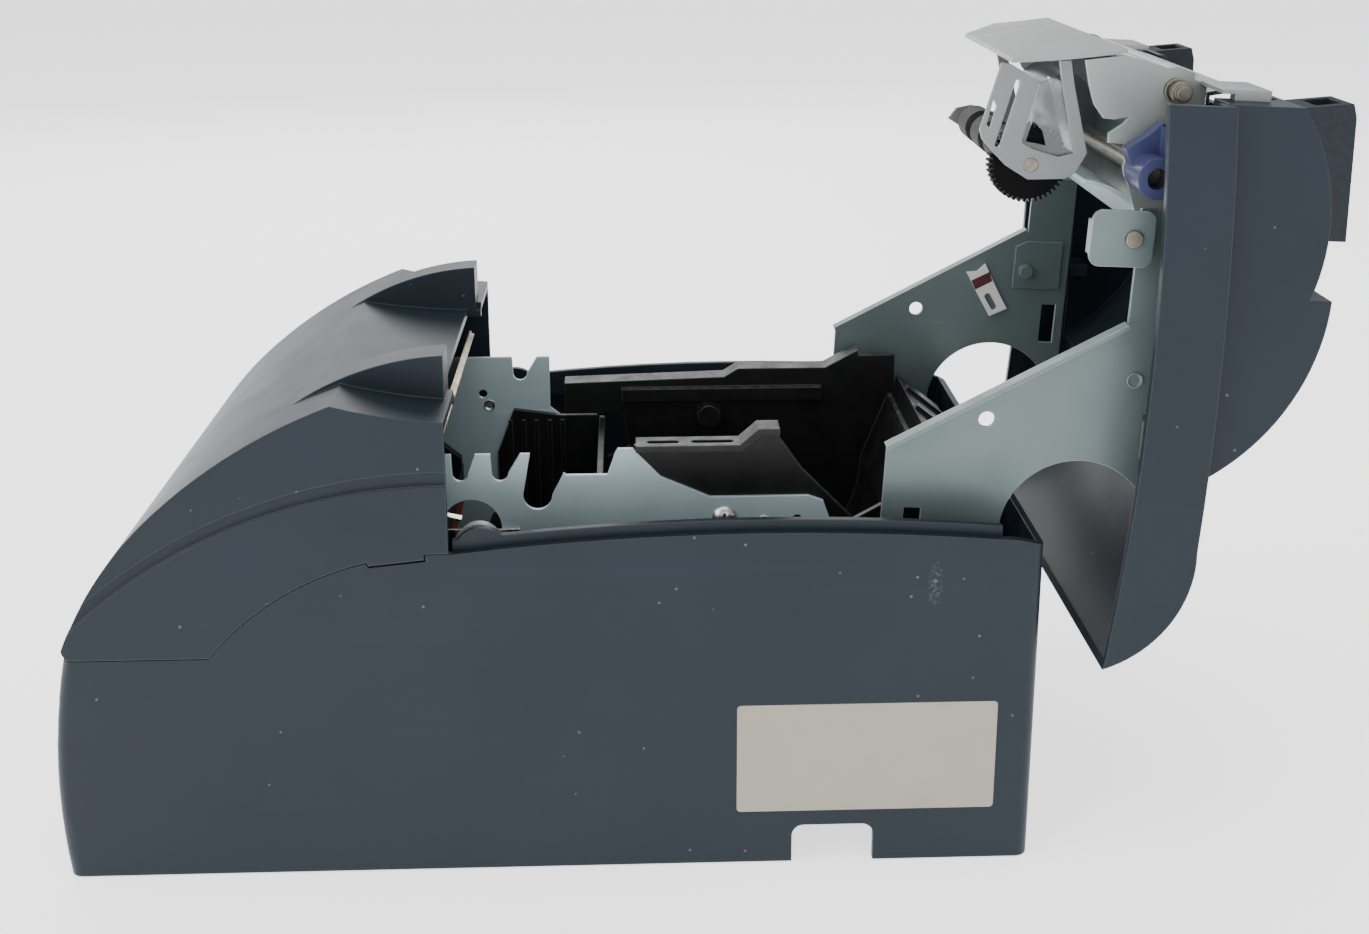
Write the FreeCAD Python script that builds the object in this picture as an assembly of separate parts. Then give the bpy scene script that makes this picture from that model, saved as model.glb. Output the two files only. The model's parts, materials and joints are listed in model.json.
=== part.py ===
import FreeCAD, Part
import math
import os

os.makedirs("parts", exist_ok=True)

# All sizes are millimetres. Y runs back from the front of the case, Z up from the table, X to the right.
# Lower case
CASE_WIDTH = 160.0
CASE_DEPTH = 286.0
WALL = 2.5
FLOOR = 2.5
FRONT_FOOT_Y = 3.0
FRONT_BULGE_Y = 2.0
FRONT_TOP_Y = 7.3
SPLIT_Z = 69.0
SPLIT_RUN = 49.0
EDGE_RISE = 30.8
EDGE_CROWN = 4.9
EDGE_FALL = 3.0
CORNER_R = 4.0
LIP_HEIGHT = 3.0
LIP_DEPTH = 6.0
LIP_WALL = 2.2
LIP_BUMP_R = 8.2
BAY_DEPTH = 81.0
BAY_HEIGHT = 28.0
CABLE_NOTCH_WIDTH = 24.1
CABLE_NOTCH_HEIGHT = 12.0
CABLE_NOTCH_R = 3.5
CABLE_NOTCH_TO_REAR = 46.7
REAR_NOTCH_WIDTH = 50.0
FOOT_R = 6.0
FOOT_THICK = 1.2

# Roll cover hinge and shell
HINGE_INSET = 12.0
HINGE_DROP = 31.3
OPEN_DEG = 92.8
HINGE_PIN_R = 3.0
HINGE_LOBE_R = 8.0
PANEL_RISE = 19.2
PANEL_CROWN = 5.4
HUMP_INSET = 5.0
HUMP_RISE = 20.0
HUMP_CROWN = 11.6
DOME_RISE = 3.6
DOME_BACK = 53.5
DOME_LENGTH = 54.5
GRIP_RISE = 4.8
GRIP_LENGTH = 37.0
GRIP_WIDTH = 16.0

# Front cover
COVER_PIN_R = 1.25
NOSE_R = 3.2
NOSE_Y = 11.0
ARCH_KNEE_Y = 34.0
ARCH_KNEE_RISE = 41.5
RIDGE_RISE = 51.7
RIDGE_INNER_X = 47.0
RIDGE_WIDTH = 11.4
RIDGE_LENGTH = 43.0
RIDGE_BULGE = 1.6
SCOOP_LENGTH = 31.0
SCOOP_DEPTH = 13.0
RECESS_LENGTH = 40.0
RECESS_DEPTH = 15.0
RECESS_CUT = 5.0
SCOOP_SAG = 0.8
SIDE_STEP = 0.8
CREASE_WIDTH = 3.6
CREASE_DEPTH = 1.4
TAB_LENGTH = 16.4
TAB_DROP = 1.4

# Steel frame and roll holder
PLATE_X = 49.0
SHEET = 1.2
PLATE_RISE = 18.8
ROLL_R = 45.0
ROLL_CLEAR = 3.5
ROLL_TO_HINGE = 23.0
HOLDER_WALL = 2.0
RIM_RISE = 39.2
RIM_REACH = 5.0
SCREW_R = 1.5
SCREW_HEAD_R = 3.7
CUTTER_ROOM = 41.0

# Cover arms and cutter unit, placed with the roll cover closed
ARM_X = 60.7
ARM_FLANGE = 3.0
ARM_STRIP_RISE = 2.6
ARM_STRIP_HEIGHT = 15.6
ARM_SETBACK = 32.0
ARM_HOLE_R = 22.0
CHEEK_X = 45.4
CHEEK_STEP = 1.6
LOCK_SHAFT_R = 2.0
DRIVE_SHAFT_R = 3.0
FEED_SHAFT_R = 2.0
FEED_ROLLER_R = 5.5
GEAR_MODULE = 0.5
GEAR_TEETH = 44
PINION_TEETH = 14
GEAR_X = 41.4
GEAR_WIDTH = 5.0
LATCH_PIN_R = 2.6

# Places measured back and up from the corner where both covers meet the case edge
LOCK_SHAFT_AT = (0.7, 12.8)
DRIVE_SHAFT_AT = (23.3, 5.6)
FEED_AT = (24.0, -25.4)
DRUM_AT = (6.0, -7.8)
HOOD_END_AT = (-9.1, -1.8)

# Print mechanism
GUIDE_TO_JOIN = 30.0
GUIDE_SHAFT_Z = 62.0
GUIDE_SHAFT_R = 4.0
CARRIAGE_HALF = 13.0
HEAD_Z = 74.0
HEAD_TO_JOIN = 9.6
RIBBON_TO_JOIN = 8.8
PULLEY_R = 6.0
PULLEY_SPAN = 36.0
BELT_TO_GUIDE = 22.0
CASSETTE_LENGTH = 22.0
BELT_Z = 57.0
BELT_WIDTH = 4.0
MOTOR_SHAFT_R = 1.2
MOTOR_NECK_R = 3.0
MOTOR_R = 12.0
DRUM_R = 6.4

# Front panel
BUTTON_X = 52.0
BUTTON_Z = 44.0
BUTTON_W = 13.0
BUTTON_H = 8.0
BUTTON_TRAVEL = 0.9
LENS_R = 1.6
LENS_XS = (24.0, 31.0, 38.0)
SWITCH_X = -52.0
SWITCH_W = 15.0
SWITCH_H = 21.0
WINDOW_Y = 7.0
BOARD_Y = 15.0
ROCKER_TILT = 12.0
ROCKER_Y = 9.0

# Clearances
RUN_FIT = 0.05
SLIDE_FIT = 0.3
COVER_GAP = 0.6
SWING_GAP = 1.5

HALF = CASE_WIDTH / 2
INNER = HALF - WALL
EDGE_FRONT_Z = SPLIT_Z + EDGE_RISE
EDGE_MID_Z = EDGE_FRONT_Z + EDGE_CROWN
EDGE_REAR_Z = EDGE_MID_Z - EDGE_FALL
HINGE_Y = CASE_DEPTH - HINGE_INSET
HINGE_Z = EDGE_REAR_Z - HINGE_DROP
ROLL_Y = HINGE_Y - ROLL_TO_HINGE - ROLL_R
ROLL_Z = BAY_HEIGHT + WALL + ROLL_CLEAR + HOLDER_WALL + ROLL_R
TROUGH_R = ROLL_R + HOLDER_WALL
TROUGH_REAR_Y = ROLL_Y + TROUGH_R + 9.0
JOIN_Y = ROLL_Y - TROUGH_R - CUTTER_ROOM
EDGE_MID_Y = (JOIN_Y + HINGE_Y) / 2
BAY_Y = CASE_DEPTH - BAY_DEPTH
PANEL_FRONT_Z = EDGE_FRONT_Z + PANEL_RISE
PANEL_MID_Z = PANEL_FRONT_Z + PANEL_CROWN
HUMP_FRONT_Z = PANEL_FRONT_Z + HUMP_RISE
HUMP_CREST_Z = HUMP_FRONT_Z + HUMP_CROWN
DOME_Z = HUMP_CREST_Z + DOME_RISE
DOME_Y = JOIN_Y + DOME_BACK
DOME_END_Y = DOME_Y + DOME_LENGTH
GRIP_TOP_Z = HUMP_CREST_Z + GRIP_RISE
ABOVE = GRIP_TOP_Z + 20.0
NOSE_Z = SPLIT_Z + COVER_GAP / 2 + NOSE_R
FRONT_EDGE_Y = JOIN_Y - COVER_GAP / 2
SHELL_FRONT_Y = JOIN_Y + COVER_GAP
ARCH_KNEE_Z = SPLIT_Z + ARCH_KNEE_RISE
RIDGE_TOP_Z = EDGE_FRONT_Z + RIDGE_RISE
SCOOP_Y = JOIN_Y - SCOOP_LENGTH
SCOOP_REAR_Z = RIDGE_TOP_Z - SCOOP_DEPTH
RECESS_Y = JOIN_Y - RECESS_LENGTH
RECESS_REAR_Z = RIDGE_TOP_Z - RECESS_DEPTH
PLATE_OUT = PLATE_X + SHEET
PLATE_TOP_Z = EDGE_FRONT_Z + PLATE_RISE
RIM_Z = ROLL_Z + RIM_RISE
SCREW_PLACES = ((ROLL_Y - 9.4, ROLL_Z + 16.6), (ROLL_Y - 2.0, ROLL_Z - 35.0))
ARM_OUT = ARM_X + SHEET
ARM_FRONT_Y = JOIN_Y + ARM_SETBACK
ARM_STRIP_Z = EDGE_FRONT_Z + ARM_STRIP_RISE
ARM_TOP_Z = ARM_STRIP_Z + ARM_STRIP_HEIGHT
CHEEK_OUT = CHEEK_X + SHEET
CHEEK_TOP_Z = ARM_TOP_Z + CHEEK_STEP
LOCK_SHAFT_Y = JOIN_Y + LOCK_SHAFT_AT[0]
LOCK_SHAFT_Z = EDGE_FRONT_Z + LOCK_SHAFT_AT[1]
DRIVE_SHAFT_Y = JOIN_Y + DRIVE_SHAFT_AT[0]
DRIVE_SHAFT_Z = EDGE_FRONT_Z + DRIVE_SHAFT_AT[1]
FEED_Y = JOIN_Y + FEED_AT[0]
FEED_Z = EDGE_FRONT_Z + FEED_AT[1]
DRUM_Y = JOIN_Y + DRUM_AT[0]
DRUM_Z = EDGE_FRONT_Z + DRUM_AT[1]
HOOD_END_Y = JOIN_Y + HOOD_END_AT[0]
HOOD_END_Z = EDGE_FRONT_Z + HOOD_END_AT[1]
BLADE_RUN_R = math.hypot(HINGE_Y - HOOD_END_Y, HOOD_END_Z - HINGE_Z) + SWING_GAP
GUIDE_SHAFT_Y = JOIN_Y - GUIDE_TO_JOIN
HEAD_TIP_Y = JOIN_Y - HEAD_TO_JOIN
RIBBON_Y = JOIN_Y - RIBBON_TO_JOIN
BELT_Y = GUIDE_SHAFT_Y - BELT_TO_GUIDE
PLATE_FRONT_Y = BELT_Y - 10.0


def vec(x, y, z):
    return FreeCAD.Vector(x, y, z)


def place(plane, a, b):
    """Put a two-number point of a profile plane into space."""
    if plane == "yz":
        return vec(0, a, b)
    if plane == "xz":
        return vec(a, 0, b)
    return vec(a, b, 0)


AXIS = {"yz": vec(1, 0, 0), "xz": vec(0, 1, 0), "xy": vec(0, 0, 1)}


def edges_of(plane, points):
    """Straight and round edges through the points; a four-number point is an arc by its middle and end."""
    edges = []
    here = place(plane, points[0][-2], points[0][-1])
    for point in points[1:]:
        end = place(plane, point[-2], point[-1])
        if len(point) == 4:
            edges.append(Part.Arc(here, place(plane, point[0], point[1]), end).toShape())
        else:
            edges.append(Part.LineSegment(here, end).toShape())
        here = end
    return edges


def prism(plane, points, low, high):
    """Closed profile pushed from low to high along the axis square to its plane."""
    face = Part.Face(Part.Wire(edges_of(plane, list(points) + [points[0][-2:]])))
    solid = face.extrude(AXIS[plane] * (high - low))
    return solid.translated(AXIS[plane] * low)


def flat_strip(start, end, thick, low, high):
    """Straight strip with its thickness to the right of the line from start to end."""
    length = math.hypot(end[0] - start[0], end[1] - start[1])
    dy = (end[1] - start[1]) / length * thick
    dz = -(end[0] - start[0]) / length * thick
    points = [start, end, (end[0] + dy, end[1] + dz), (start[0] + dy, start[1] + dz)]
    return prism("yz", points, low, high)


def sheet(points, thick, low, high):
    """Bent strip of even thickness along an open YZ path, from low to high in X."""
    if len(points) == 2 and len(points[1]) == 2:
        return flat_strip(points[0], points[1], thick, low, high)
    path = Part.Wire(edges_of("yz", points))
    face = path.makeOffset2D(thick, join=0, fill=True, openResult=True)
    solid = face.extrude(vec(high - low, 0, 0))
    return solid.translated(vec(low, 0, 0))


def rod(y, z, radius, low, high):
    """Round bar along X."""
    return Part.makeCylinder(radius, high - low, vec(low, y, z), vec(1, 0, 0))


def box(x0, x1, y0, y1, z0, z1):
    return Part.makeBox(x1 - x0, y1 - y0, z1 - z0, vec(x0, y0, z0))


def mirrored(shape):
    return shape.mirror(vec(0, 0, 0), vec(1, 0, 0))


def both(shape):
    """A right-hand piece with its left-hand twin."""
    return [shape, mirrored(shape)]


def join(first, others):
    return first.fuse(list(others)).removeSplitter()


def around(cy, cz, radius, deg):
    angle = math.radians(deg)
    return (cy + radius * math.cos(angle), cz + radius * math.sin(angle))


def inset_arc(start, middle, end, depth):
    """The three points of an arc moved towards its centre."""
    circle = Part.Arc(place("yz", *start), place("yz", *middle), place("yz", *end)).toShape().Curve
    centre = circle.Center
    moved = []
    for y, z in (start, middle, end):
        ray = place("yz", y, z) - centre
        moved.append(centre + ray * ((circle.Radius - depth) / circle.Radius))
    return [(p.y, p.z) for p in moved]


def from_joint(points):
    """Profile points measured back and up from the corner where both covers meet the case edge."""
    moved = []
    for point in points:
        moved.append(tuple(n + (EDGE_FRONT_Z if i % 2 else JOIN_Y) for i, n in enumerate(point)))
    return moved


def from_hinge(points):
    """Profile points measured back and up from the roll cover's hinge."""
    return [(HINGE_Y + y, HINGE_Z + z) for y, z in points]


def round_edges(shape, radius, wanted):
    return shape.makeFillet(radius, [edge for edge in shape.Edges if wanted(edge.BoundBox)])


def slot(plane, start, end, width, low, high):
    """Round-ended slot between two centres."""
    da = end[0] - start[0]
    db = end[1] - start[1]
    length = math.hypot(da, db)
    na = -db / length * width / 2
    nb = da / length * width / 2
    ua = da / length * width / 2
    ub = db / length * width / 2
    points = [(start[0] + na, start[1] + nb)]
    points.append((start[0] - ua, start[1] - ub, start[0] - na, start[1] - nb))
    points.append((end[0] - na, end[1] - nb))
    points.append((end[0] + ua, end[1] + ub, end[0] + na, end[1] + nb))
    return prism(plane, points, low, high)


def swing_open(shape):
    """Turn a piece of the closed roll cover back about the hinge into the open rest position."""
    turned = shape.copy()
    turned.rotate(vec(0, HINGE_Y, HINGE_Z), vec(1, 0, 0), -OPEN_DEG)
    return turned


def save(name, solids):
    """Centre the pieces on the footprint and write them."""
    whole = Part.Compound(solids) if isinstance(solids, list) else solids
    whole = whole.translated(vec(0, -CASE_DEPTH / 2, 0))
    whole.exportStep("parts/" + name + ".step")


def save_cover(name, solids):
    if isinstance(solids, list):
        save(name, [swing_open(solid) for solid in solids])
    else:
        save(name, swing_open(solids))


# Lower case

def case_edge(rise, first_y):
    """Top edge of the case from a start line back to the hinge, raised by rise."""
    start = (JOIN_Y, EDGE_FRONT_Z + rise)
    middle = (EDGE_MID_Y, EDGE_MID_Z + rise)
    end = (HINGE_Y, EDGE_REAR_Z + rise)
    circle = Part.Arc(place("yz", *start), place("yz", *middle), place("yz", *end)).toShape().Curve
    drop = circle.Radius - math.sqrt(circle.Radius ** 2 - (first_y - circle.Center.y) ** 2)
    return [(first_y, circle.Center.z + circle.Radius - drop), middle + end]


def split_curve(rise):
    """Front split line: level, then sweeping up to the joint between the covers."""
    middle_y = SPLIT_RUN + 0.377 * (JOIN_Y - SPLIT_RUN)
    middle_z = SPLIT_Z + 0.688 * (EDGE_FRONT_Z - SPLIT_Z)
    return [(SPLIT_RUN, SPLIT_Z + rise), (middle_y, middle_z + rise, JOIN_Y, EDGE_FRONT_Z + rise)]


def rear_edge(radius):
    """Arc about the hinge from above it back to the rear wall."""
    last = math.degrees(math.acos(HINGE_INSET / radius))
    return around(HINGE_Y, HINGE_Z, radius, (90 + last) / 2) + around(HINGE_Y, HINGE_Z, radius, last)


def case_outer():
    points = [(FRONT_FOOT_Y, 0)]
    points.append((FRONT_BULGE_Y, SPLIT_Z * 0.45, FRONT_TOP_Y, SPLIT_Z))
    points += split_curve(0)
    points += case_edge(0, JOIN_Y)[1:]
    points.append(rear_edge(HINGE_DROP))
    points.append((CASE_DEPTH, 0))
    solid = prism("yz", points, -HALF, HALF)
    front = lambda b: b.XLength < 0.01 and b.YMax < FRONT_TOP_Y + 0.1 and b.ZLength > SPLIT_Z / 2
    rear = lambda b: b.XLength < 0.01 and b.YMin > CASE_DEPTH - 0.1 and b.ZLength > SPLIT_Z / 2
    return round_edges(solid, CORNER_R, lambda b: front(b) or rear(b))


def case_inside():
    points = [(FRONT_FOOT_Y + WALL, FLOOR)]
    points.append((FRONT_BULGE_Y + WALL, SPLIT_Z * 0.45, FRONT_TOP_Y + WALL, SPLIT_Z))
    points.append((FRONT_TOP_Y + WALL, ABOVE))
    points.append((CASE_DEPTH - WALL, ABOVE))
    points.append((CASE_DEPTH - WALL, BAY_HEIGHT + WALL))
    points.append((BAY_Y - WALL, BAY_HEIGHT + WALL))
    points.append((BAY_Y - WALL, FLOOR))
    return prism("yz", points, -INNER, INNER)


def case_lip():
    """Raised inner lip along the top edge, set in so that the roll cover drops over it."""
    first_y = SHELL_FRONT_Y
    out = INNER - SLIDE_FIT
    top = case_edge(LIP_HEIGHT, first_y)
    low = case_edge(-LIP_DEPTH, first_y)
    under = case_edge(-1.0, first_y)
    back = [low[1][-2:], low[1][:2] + low[0]]
    band = prism("yz", top + back, out - LIP_WALL, out)
    web = prism("yz", under + back, out - LIP_WALL, INNER + 0.1)
    bump_y = first_y + LIP_BUMP_R
    bump = rod(bump_y, top[0][1] - 4.5, LIP_BUMP_R, out - LIP_WALL, out)
    return join(band, [web, bump])


def cover_ear():
    """Ear on the front wall that carries the front cover's pin."""
    reach = NOSE_R - 0.4
    points = [(NOSE_Y - reach, NOSE_Z), (NOSE_Y, NOSE_Z + reach, NOSE_Y + reach, NOSE_Z)]
    points += [(NOSE_Y + reach, SPLIT_Z - 12), (FRONT_TOP_Y + WALL / 2, SPLIT_Z - 12)]
    points += [(FRONT_TOP_Y + WALL / 2, SPLIT_Z - 1), (NOSE_Y - reach, SPLIT_Z - 1)]
    ear = prism("yz", points, INNER - 7.0, INNER - 2.5)
    return ear.cut(rod(NOSE_Y, NOSE_Z, COVER_PIN_R + 0.02, 0, HALF))


def hinge_boss():
    boss = rod(HINGE_Y, HINGE_Z, HINGE_LOBE_R - 1, ARM_OUT + SLIDE_FIT, INNER + 0.1)
    return boss.cut(rod(HINGE_Y, HINGE_Z, HINGE_PIN_R + 0.02, 0, INNER - WALL))


def cable_notch():
    """Round-cornered gap at the foot of both side walls."""
    y1 = CASE_DEPTH - CABLE_NOTCH_TO_REAR
    y0 = y1 - CABLE_NOTCH_WIDTH
    r = CABLE_NOTCH_R
    top = CABLE_NOTCH_HEIGHT
    k = r * (1 - math.sqrt(0.5))
    points = [(y0, -1), (y0, top - r), (y0 + k, top - k, y0 + r, top)]
    points += [(y1 - r, top), (y1 - k, top - k, y1, top - r), (y1, -1)]
    return prism("yz", points, -HALF - 1, HALF + 1)


def foot_centres():
    x = HALF - 18.0
    return [(sx * x, y) for sx in (-1, 1) for y in (24.0, BAY_Y - WALL - 14.0)]


def panel_holes():
    """Openings in the front wall for the button, the lenses and the power switch."""
    cuts = [box(BUTTON_X - BUTTON_W / 2 - SLIDE_FIT, BUTTON_X + BUTTON_W / 2 + SLIDE_FIT, -1, WINDOW_Y,
                BUTTON_Z - BUTTON_H / 2 - SLIDE_FIT, BUTTON_Z + BUTTON_H / 2 + SLIDE_FIT)]
    for x in LENS_XS:
        cuts.append(Part.makeCylinder(LENS_R + RUN_FIT, WINDOW_Y + 1, vec(x, -1, BUTTON_Z), vec(0, 1, 0)))
    cuts.append(box(SWITCH_X - SWITCH_W / 2, SWITCH_X + SWITCH_W / 2, -1, WINDOW_Y,
                    BUTTON_Z - SWITCH_H / 2, BUTTON_Z + SWITCH_H / 2))
    return cuts


def lower_case():
    body = case_outer().cut(case_inside())
    bay = box(-INNER, INNER, BAY_Y, CASE_DEPTH - WALL, -1, BAY_HEIGHT)
    body = body.cut([bay, cable_notch()])
    rear_notch = box(-REAR_NOTCH_WIDTH / 2, REAR_NOTCH_WIDTH / 2, CASE_DEPTH - WALL - 1, CASE_DEPTH + 1,
                     -1, CABLE_NOTCH_HEIGHT)
    feet = [Part.makeCylinder(FOOT_R, FOOT_THICK + 1, vec(x, y, -1)) for x, y in foot_centres()]
    body = body.cut([rear_notch] + feet + panel_holes())
    adds = both(case_lip()) + both(cover_ear()) + both(hinge_boss())
    body = join(body, adds)
    return body.cut(both(tab_pocket()))


def split_at(y):
    """Height of the split line at a given Y."""
    start, sweep = split_curve(0)
    return arch_at((start, sweep[:2], sweep[2:]), y)


def tab_outline(room):
    """Finger tab below the split line; room widens it into the pocket that takes it."""
    y1 = JOIN_Y - 7.2
    y0 = y1 - TAB_LENGTH
    points = [(y0 - room, split_at(y0) + 1.0), (y0 + 1.0, split_at(y0) - 0.5 * TAB_DROP - room)]
    points += [(y1 + room, split_at(y1) - TAB_DROP - room), (y1 + room, split_at(y1) + 2.0)]
    return points


def tab_pocket():
    """Shallow pocket in the outside of the side wall for the front cover's finger tab."""
    return prism("yz", tab_outline(COVER_GAP), HALF - 1.5, HALF + 1)


def rubber_feet():
    feet = []
    for x, y in foot_centres():
        feet.append(Part.makeCylinder(FOOT_R - 0.1, FOOT_THICK, vec(x, y, 0)))
    return feet


def hinge_pins():
    shank = rod(HINGE_Y, HINGE_Z, HINGE_PIN_R, ARM_X - SLIDE_FIT, INNER - WALL)
    head = rod(HINGE_Y, HINGE_Z, HINGE_PIN_R + 2, ARM_X - SLIDE_FIT - 1.6, ARM_X - SLIDE_FIT)
    return both(join(shank, [head]))


def front_cover_pins():
    return both(rod(NOSE_Y, NOSE_Z, COVER_PIN_R, INNER - 7.0, INNER + 0.8))


# Front cover

def arch_low():
    start = (NOSE_Y - NOSE_R, NOSE_Z)
    middle = ((start[0] + ARCH_KNEE_Y) / 2 - 2.9, (NOSE_Z + ARCH_KNEE_Z) / 2)
    return (start, middle, (ARCH_KNEE_Y, ARCH_KNEE_Z))


def arch_high():
    end = (JOIN_Y - 2.0, RIDGE_TOP_Z)
    middle = ((ARCH_KNEE_Y + end[0]) / 2 - 7.0, (ARCH_KNEE_Z + end[1]) / 2 + 4.0)
    return ((ARCH_KNEE_Y, ARCH_KNEE_Z), middle, end)


def arch_at(points, y):
    """Height of an arch at a given Y."""
    circle = Part.Arc(*[place("yz", *p) for p in points]).toShape().Curve
    return circle.Center.z + math.sqrt(circle.Radius ** 2 - (y - circle.Center.y) ** 2)


def arch_part(points, y):
    """The arch cut off at a given Y, as an arc by its middle and end."""
    middle = (points[0][0] + y) / 2
    return (middle, arch_at(points, middle), y, arch_at(points, y))


def scoop_arc(start, rear_z, depth):
    """Hollow from its start on the arch back to the rear edge, as an arc by its middle and end."""
    middle = (arch_at(arch_high(), start) + rear_z) / 2 - SCOOP_SAG
    return ((start + FRONT_EDGE_Y) / 2, middle - depth, FRONT_EDGE_Y, rear_z - depth)


def cover_low_profile(scoop, rear_z):
    low = arch_low()
    split = split_curve(COVER_GAP / 2)
    foot = (FRONT_EDGE_Y, split[1][3])
    points = [(NOSE_Y, NOSE_Z - NOSE_R)]
    points.append(around(NOSE_Y, NOSE_Z, NOSE_R, 225) + low[0])
    points.append(low[1] + low[2])
    points.append(arch_part(arch_high(), scoop))
    points.append(scoop_arc(scoop, rear_z, 0))
    points.append(foot)
    points.append(split[1][:2] + split[0])
    points.append((NOSE_Y + NOSE_R, split[0][1]))
    return points


def cover_ridge_profile(depth):
    """One raised ridge; depth moves its line inwards and starts it later, for the hollow."""
    end = JOIN_Y - 2.0
    start = end - RIDGE_LENGTH
    middle = (start + end) / 2
    arch = arch_high()
    crest = ((start, arch_at(arch, start)), (middle, arch_at(arch, middle) + RIDGE_BULGE), (end, RIDGE_TOP_Z))
    crest = inset_arc(*crest, depth)
    low = RECESS_REAR_Z - WALL - 1 - 3 * depth
    first = start + 5 * depth
    part = arch_part([(first, arch_at(crest, first)), crest[1], crest[2]], end - depth)
    return [(first, arch_at(crest, first)), part, (end - depth, low), (first, low)]


def cover_inner_profile(scoop, rear_z):
    low = inset_arc(*arch_low(), WALL)
    high = inset_arc(*arch_high(), WALL)
    far = JOIN_Y + 20.0
    points = [(low[0][0], SPLIT_Z - 20), low[0], low[1] + high[0]]
    points.append(arch_part(high, scoop))
    points.append(scoop_arc(scoop, rear_z, WALL))
    points.append((far, rear_z - WALL))
    points.append((far, SPLIT_Z - 20))
    return points


def cover_slabs(profile, outer):
    """The cover's section, which is lower between the ridges than beside them."""
    inner = RIDGE_INNER_X + WALL
    middle = prism("yz", profile(RECESS_Y, RECESS_REAR_Z), -inner, inner)
    side = prism("yz", profile(SCOOP_Y, SCOOP_REAR_Z), inner, outer)
    return join(middle, both(side))


def crease_line(rise):
    """Long crease along the side of the cover, moved up by rise."""
    start = (4.0, SPLIT_Z + 3.0 + rise)
    end = (JOIN_Y + 1.0, EDGE_FRONT_Z + 20.7 + rise)
    middle = (start[0] + 0.4 * (end[0] - start[0]), start[1] + 0.69 * (end[1] - start[1]))
    return [start, middle + end]


def side_crease():
    """A cove along the side, with the flank above it set in a little."""
    low = crease_line(0)
    high = crease_line(CREASE_WIDTH)
    groove = low + [high[1][2:], high[1][:2] + high[0]]
    flank = high + [(high[1][2], ABOVE), (high[0][0], ABOVE)]
    lead = crease_line(-0.7)
    bevel = lead + [low[1][2:], low[1][:2] + low[0]]
    cuts = [prism("yz", groove, HALF - CREASE_DEPTH, HALF + 1)]
    cuts.append(prism("yz", flank, HALF - SIDE_STEP, HALF + 1))
    cuts.append(prism("yz", bevel, HALF - SIDE_STEP / 2, HALF + 1))
    return cuts


def finger_tab():
    return prism("yz", tab_outline(0), HALF - 1.0, HALF)


def front_cover():
    ridge = prism("yz", cover_ridge_profile(0), RIDGE_INNER_X, RIDGE_INNER_X + RIDGE_WIDTH)
    body = join(cover_slabs(cover_low_profile, HALF), both(ridge))
    hollow = prism("yz", cover_ridge_profile(WALL), RIDGE_INNER_X + WALL, RIDGE_INNER_X + RIDGE_WIDTH - WALL)
    body = body.cut([cover_slabs(cover_inner_profile, INNER)] + both(hollow))
    for cut in side_crease():
        body = body.cut(both(cut))
    boss = rod(NOSE_Y, NOSE_Z, NOSE_R - 0.1, INNER - 2.0, INNER + 0.1)
    body = join(body, both(boss) + both(finger_tab()))
    ear_room = rod(NOSE_Y, NOSE_Z, NOSE_R + 0.3, INNER - 7.6, INNER - 2.0)
    bore = rod(NOSE_Y, NOSE_Z, COVER_PIN_R + RUN_FIT, INNER - 2.5, INNER + 1.1)
    swing_room = box(-RIDGE_INNER_X, RIDGE_INNER_X, JOIN_Y - RECESS_CUT, JOIN_Y + 1, SPLIT_Z, ABOVE)
    return body.cut(both(ear_room) + both(bore) + [swing_room])


# Steel frame

def top_notch(y, z, radius, left_y, right_y, top):
    """Open notch in the top edge of a plate with a round bottom."""
    points = [(left_y, top), (y - radius, z), (y, z - radius, y + radius, z), (right_y, top)]
    return prism("yz", points, 0, HALF)


def right_top():
    """Near plate's top line behind its front shoulder, with the peak that carries the holder's rim."""
    points = from_joint([(22.5, PLATE_RISE), (32.0, 12.0), (44.0, 12.0)])
    points += [(ROLL_Y - 41.6, RIM_Z - 1.6), (ROLL_Y - 40.8, RIM_Z - 0.4), (ROLL_Y - 36.4, RIM_Z - 0.4)]
    return points + [(ROLL_Y - 28.3, RIM_Z - 9.2)]


def left_top():
    """Far plate's top line, which drops away behind the paper guide."""
    points = from_joint([(22.8, PLATE_RISE), (22.8, 0.2), (28.0, -4.0), (36.0, -30.0)])
    return points + [(ROLL_Y - 38.0, EDGE_FRONT_Z - 30.0), (ROLL_Y - 33.0, ROLL_Z + 20.0)]


def plate_profile(top):
    base = BAY_Y - WALL - 2.0
    rear = ROLL_Y + 22.6
    step = BELT_Y + 10.0
    shelf = BELT_Z + 9.0
    points = [(PLATE_FRONT_Y, FLOOR), (PLATE_FRONT_Y, shelf), (step, shelf)]
    points += from_joint([(step - JOIN_Y, -4.8), (-34.0, 6.0), (-15.0, PLATE_RISE - 2), (-10.0, PLATE_RISE)])
    points += top + [(ROLL_Y - 13.5, ROLL_Z + 23.3), (rear - 7.0, ROLL_Z + 23.3)]
    points += [(rear - 2.5, ROLL_Z + 21.6), (rear, ROLL_Z + 14.6)]
    points += [(rear, BAY_HEIGHT + WALL), (base, BAY_HEIGHT + WALL), (base, FLOOR)]
    return points


def plate_holes():
    holes = [rod(GUIDE_SHAFT_Y, GUIDE_SHAFT_Z, GUIDE_SHAFT_R + 0.02, 0, HALF)]
    holes.append(rod(ROLL_Y + 12.4, ROLL_Z + 15.6, 1.6, 0, HALF))
    for y, z in SCREW_PLACES:
        holes.append(rod(y, z, SCREW_R + 0.05, 0, HALF))
    holes.append(top_notch(JOIN_Y + 12.4, LOCK_SHAFT_Z, 2.4, JOIN_Y + 9.6, JOIN_Y + 19.6, PLATE_TOP_Z + 2))
    return holes


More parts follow.
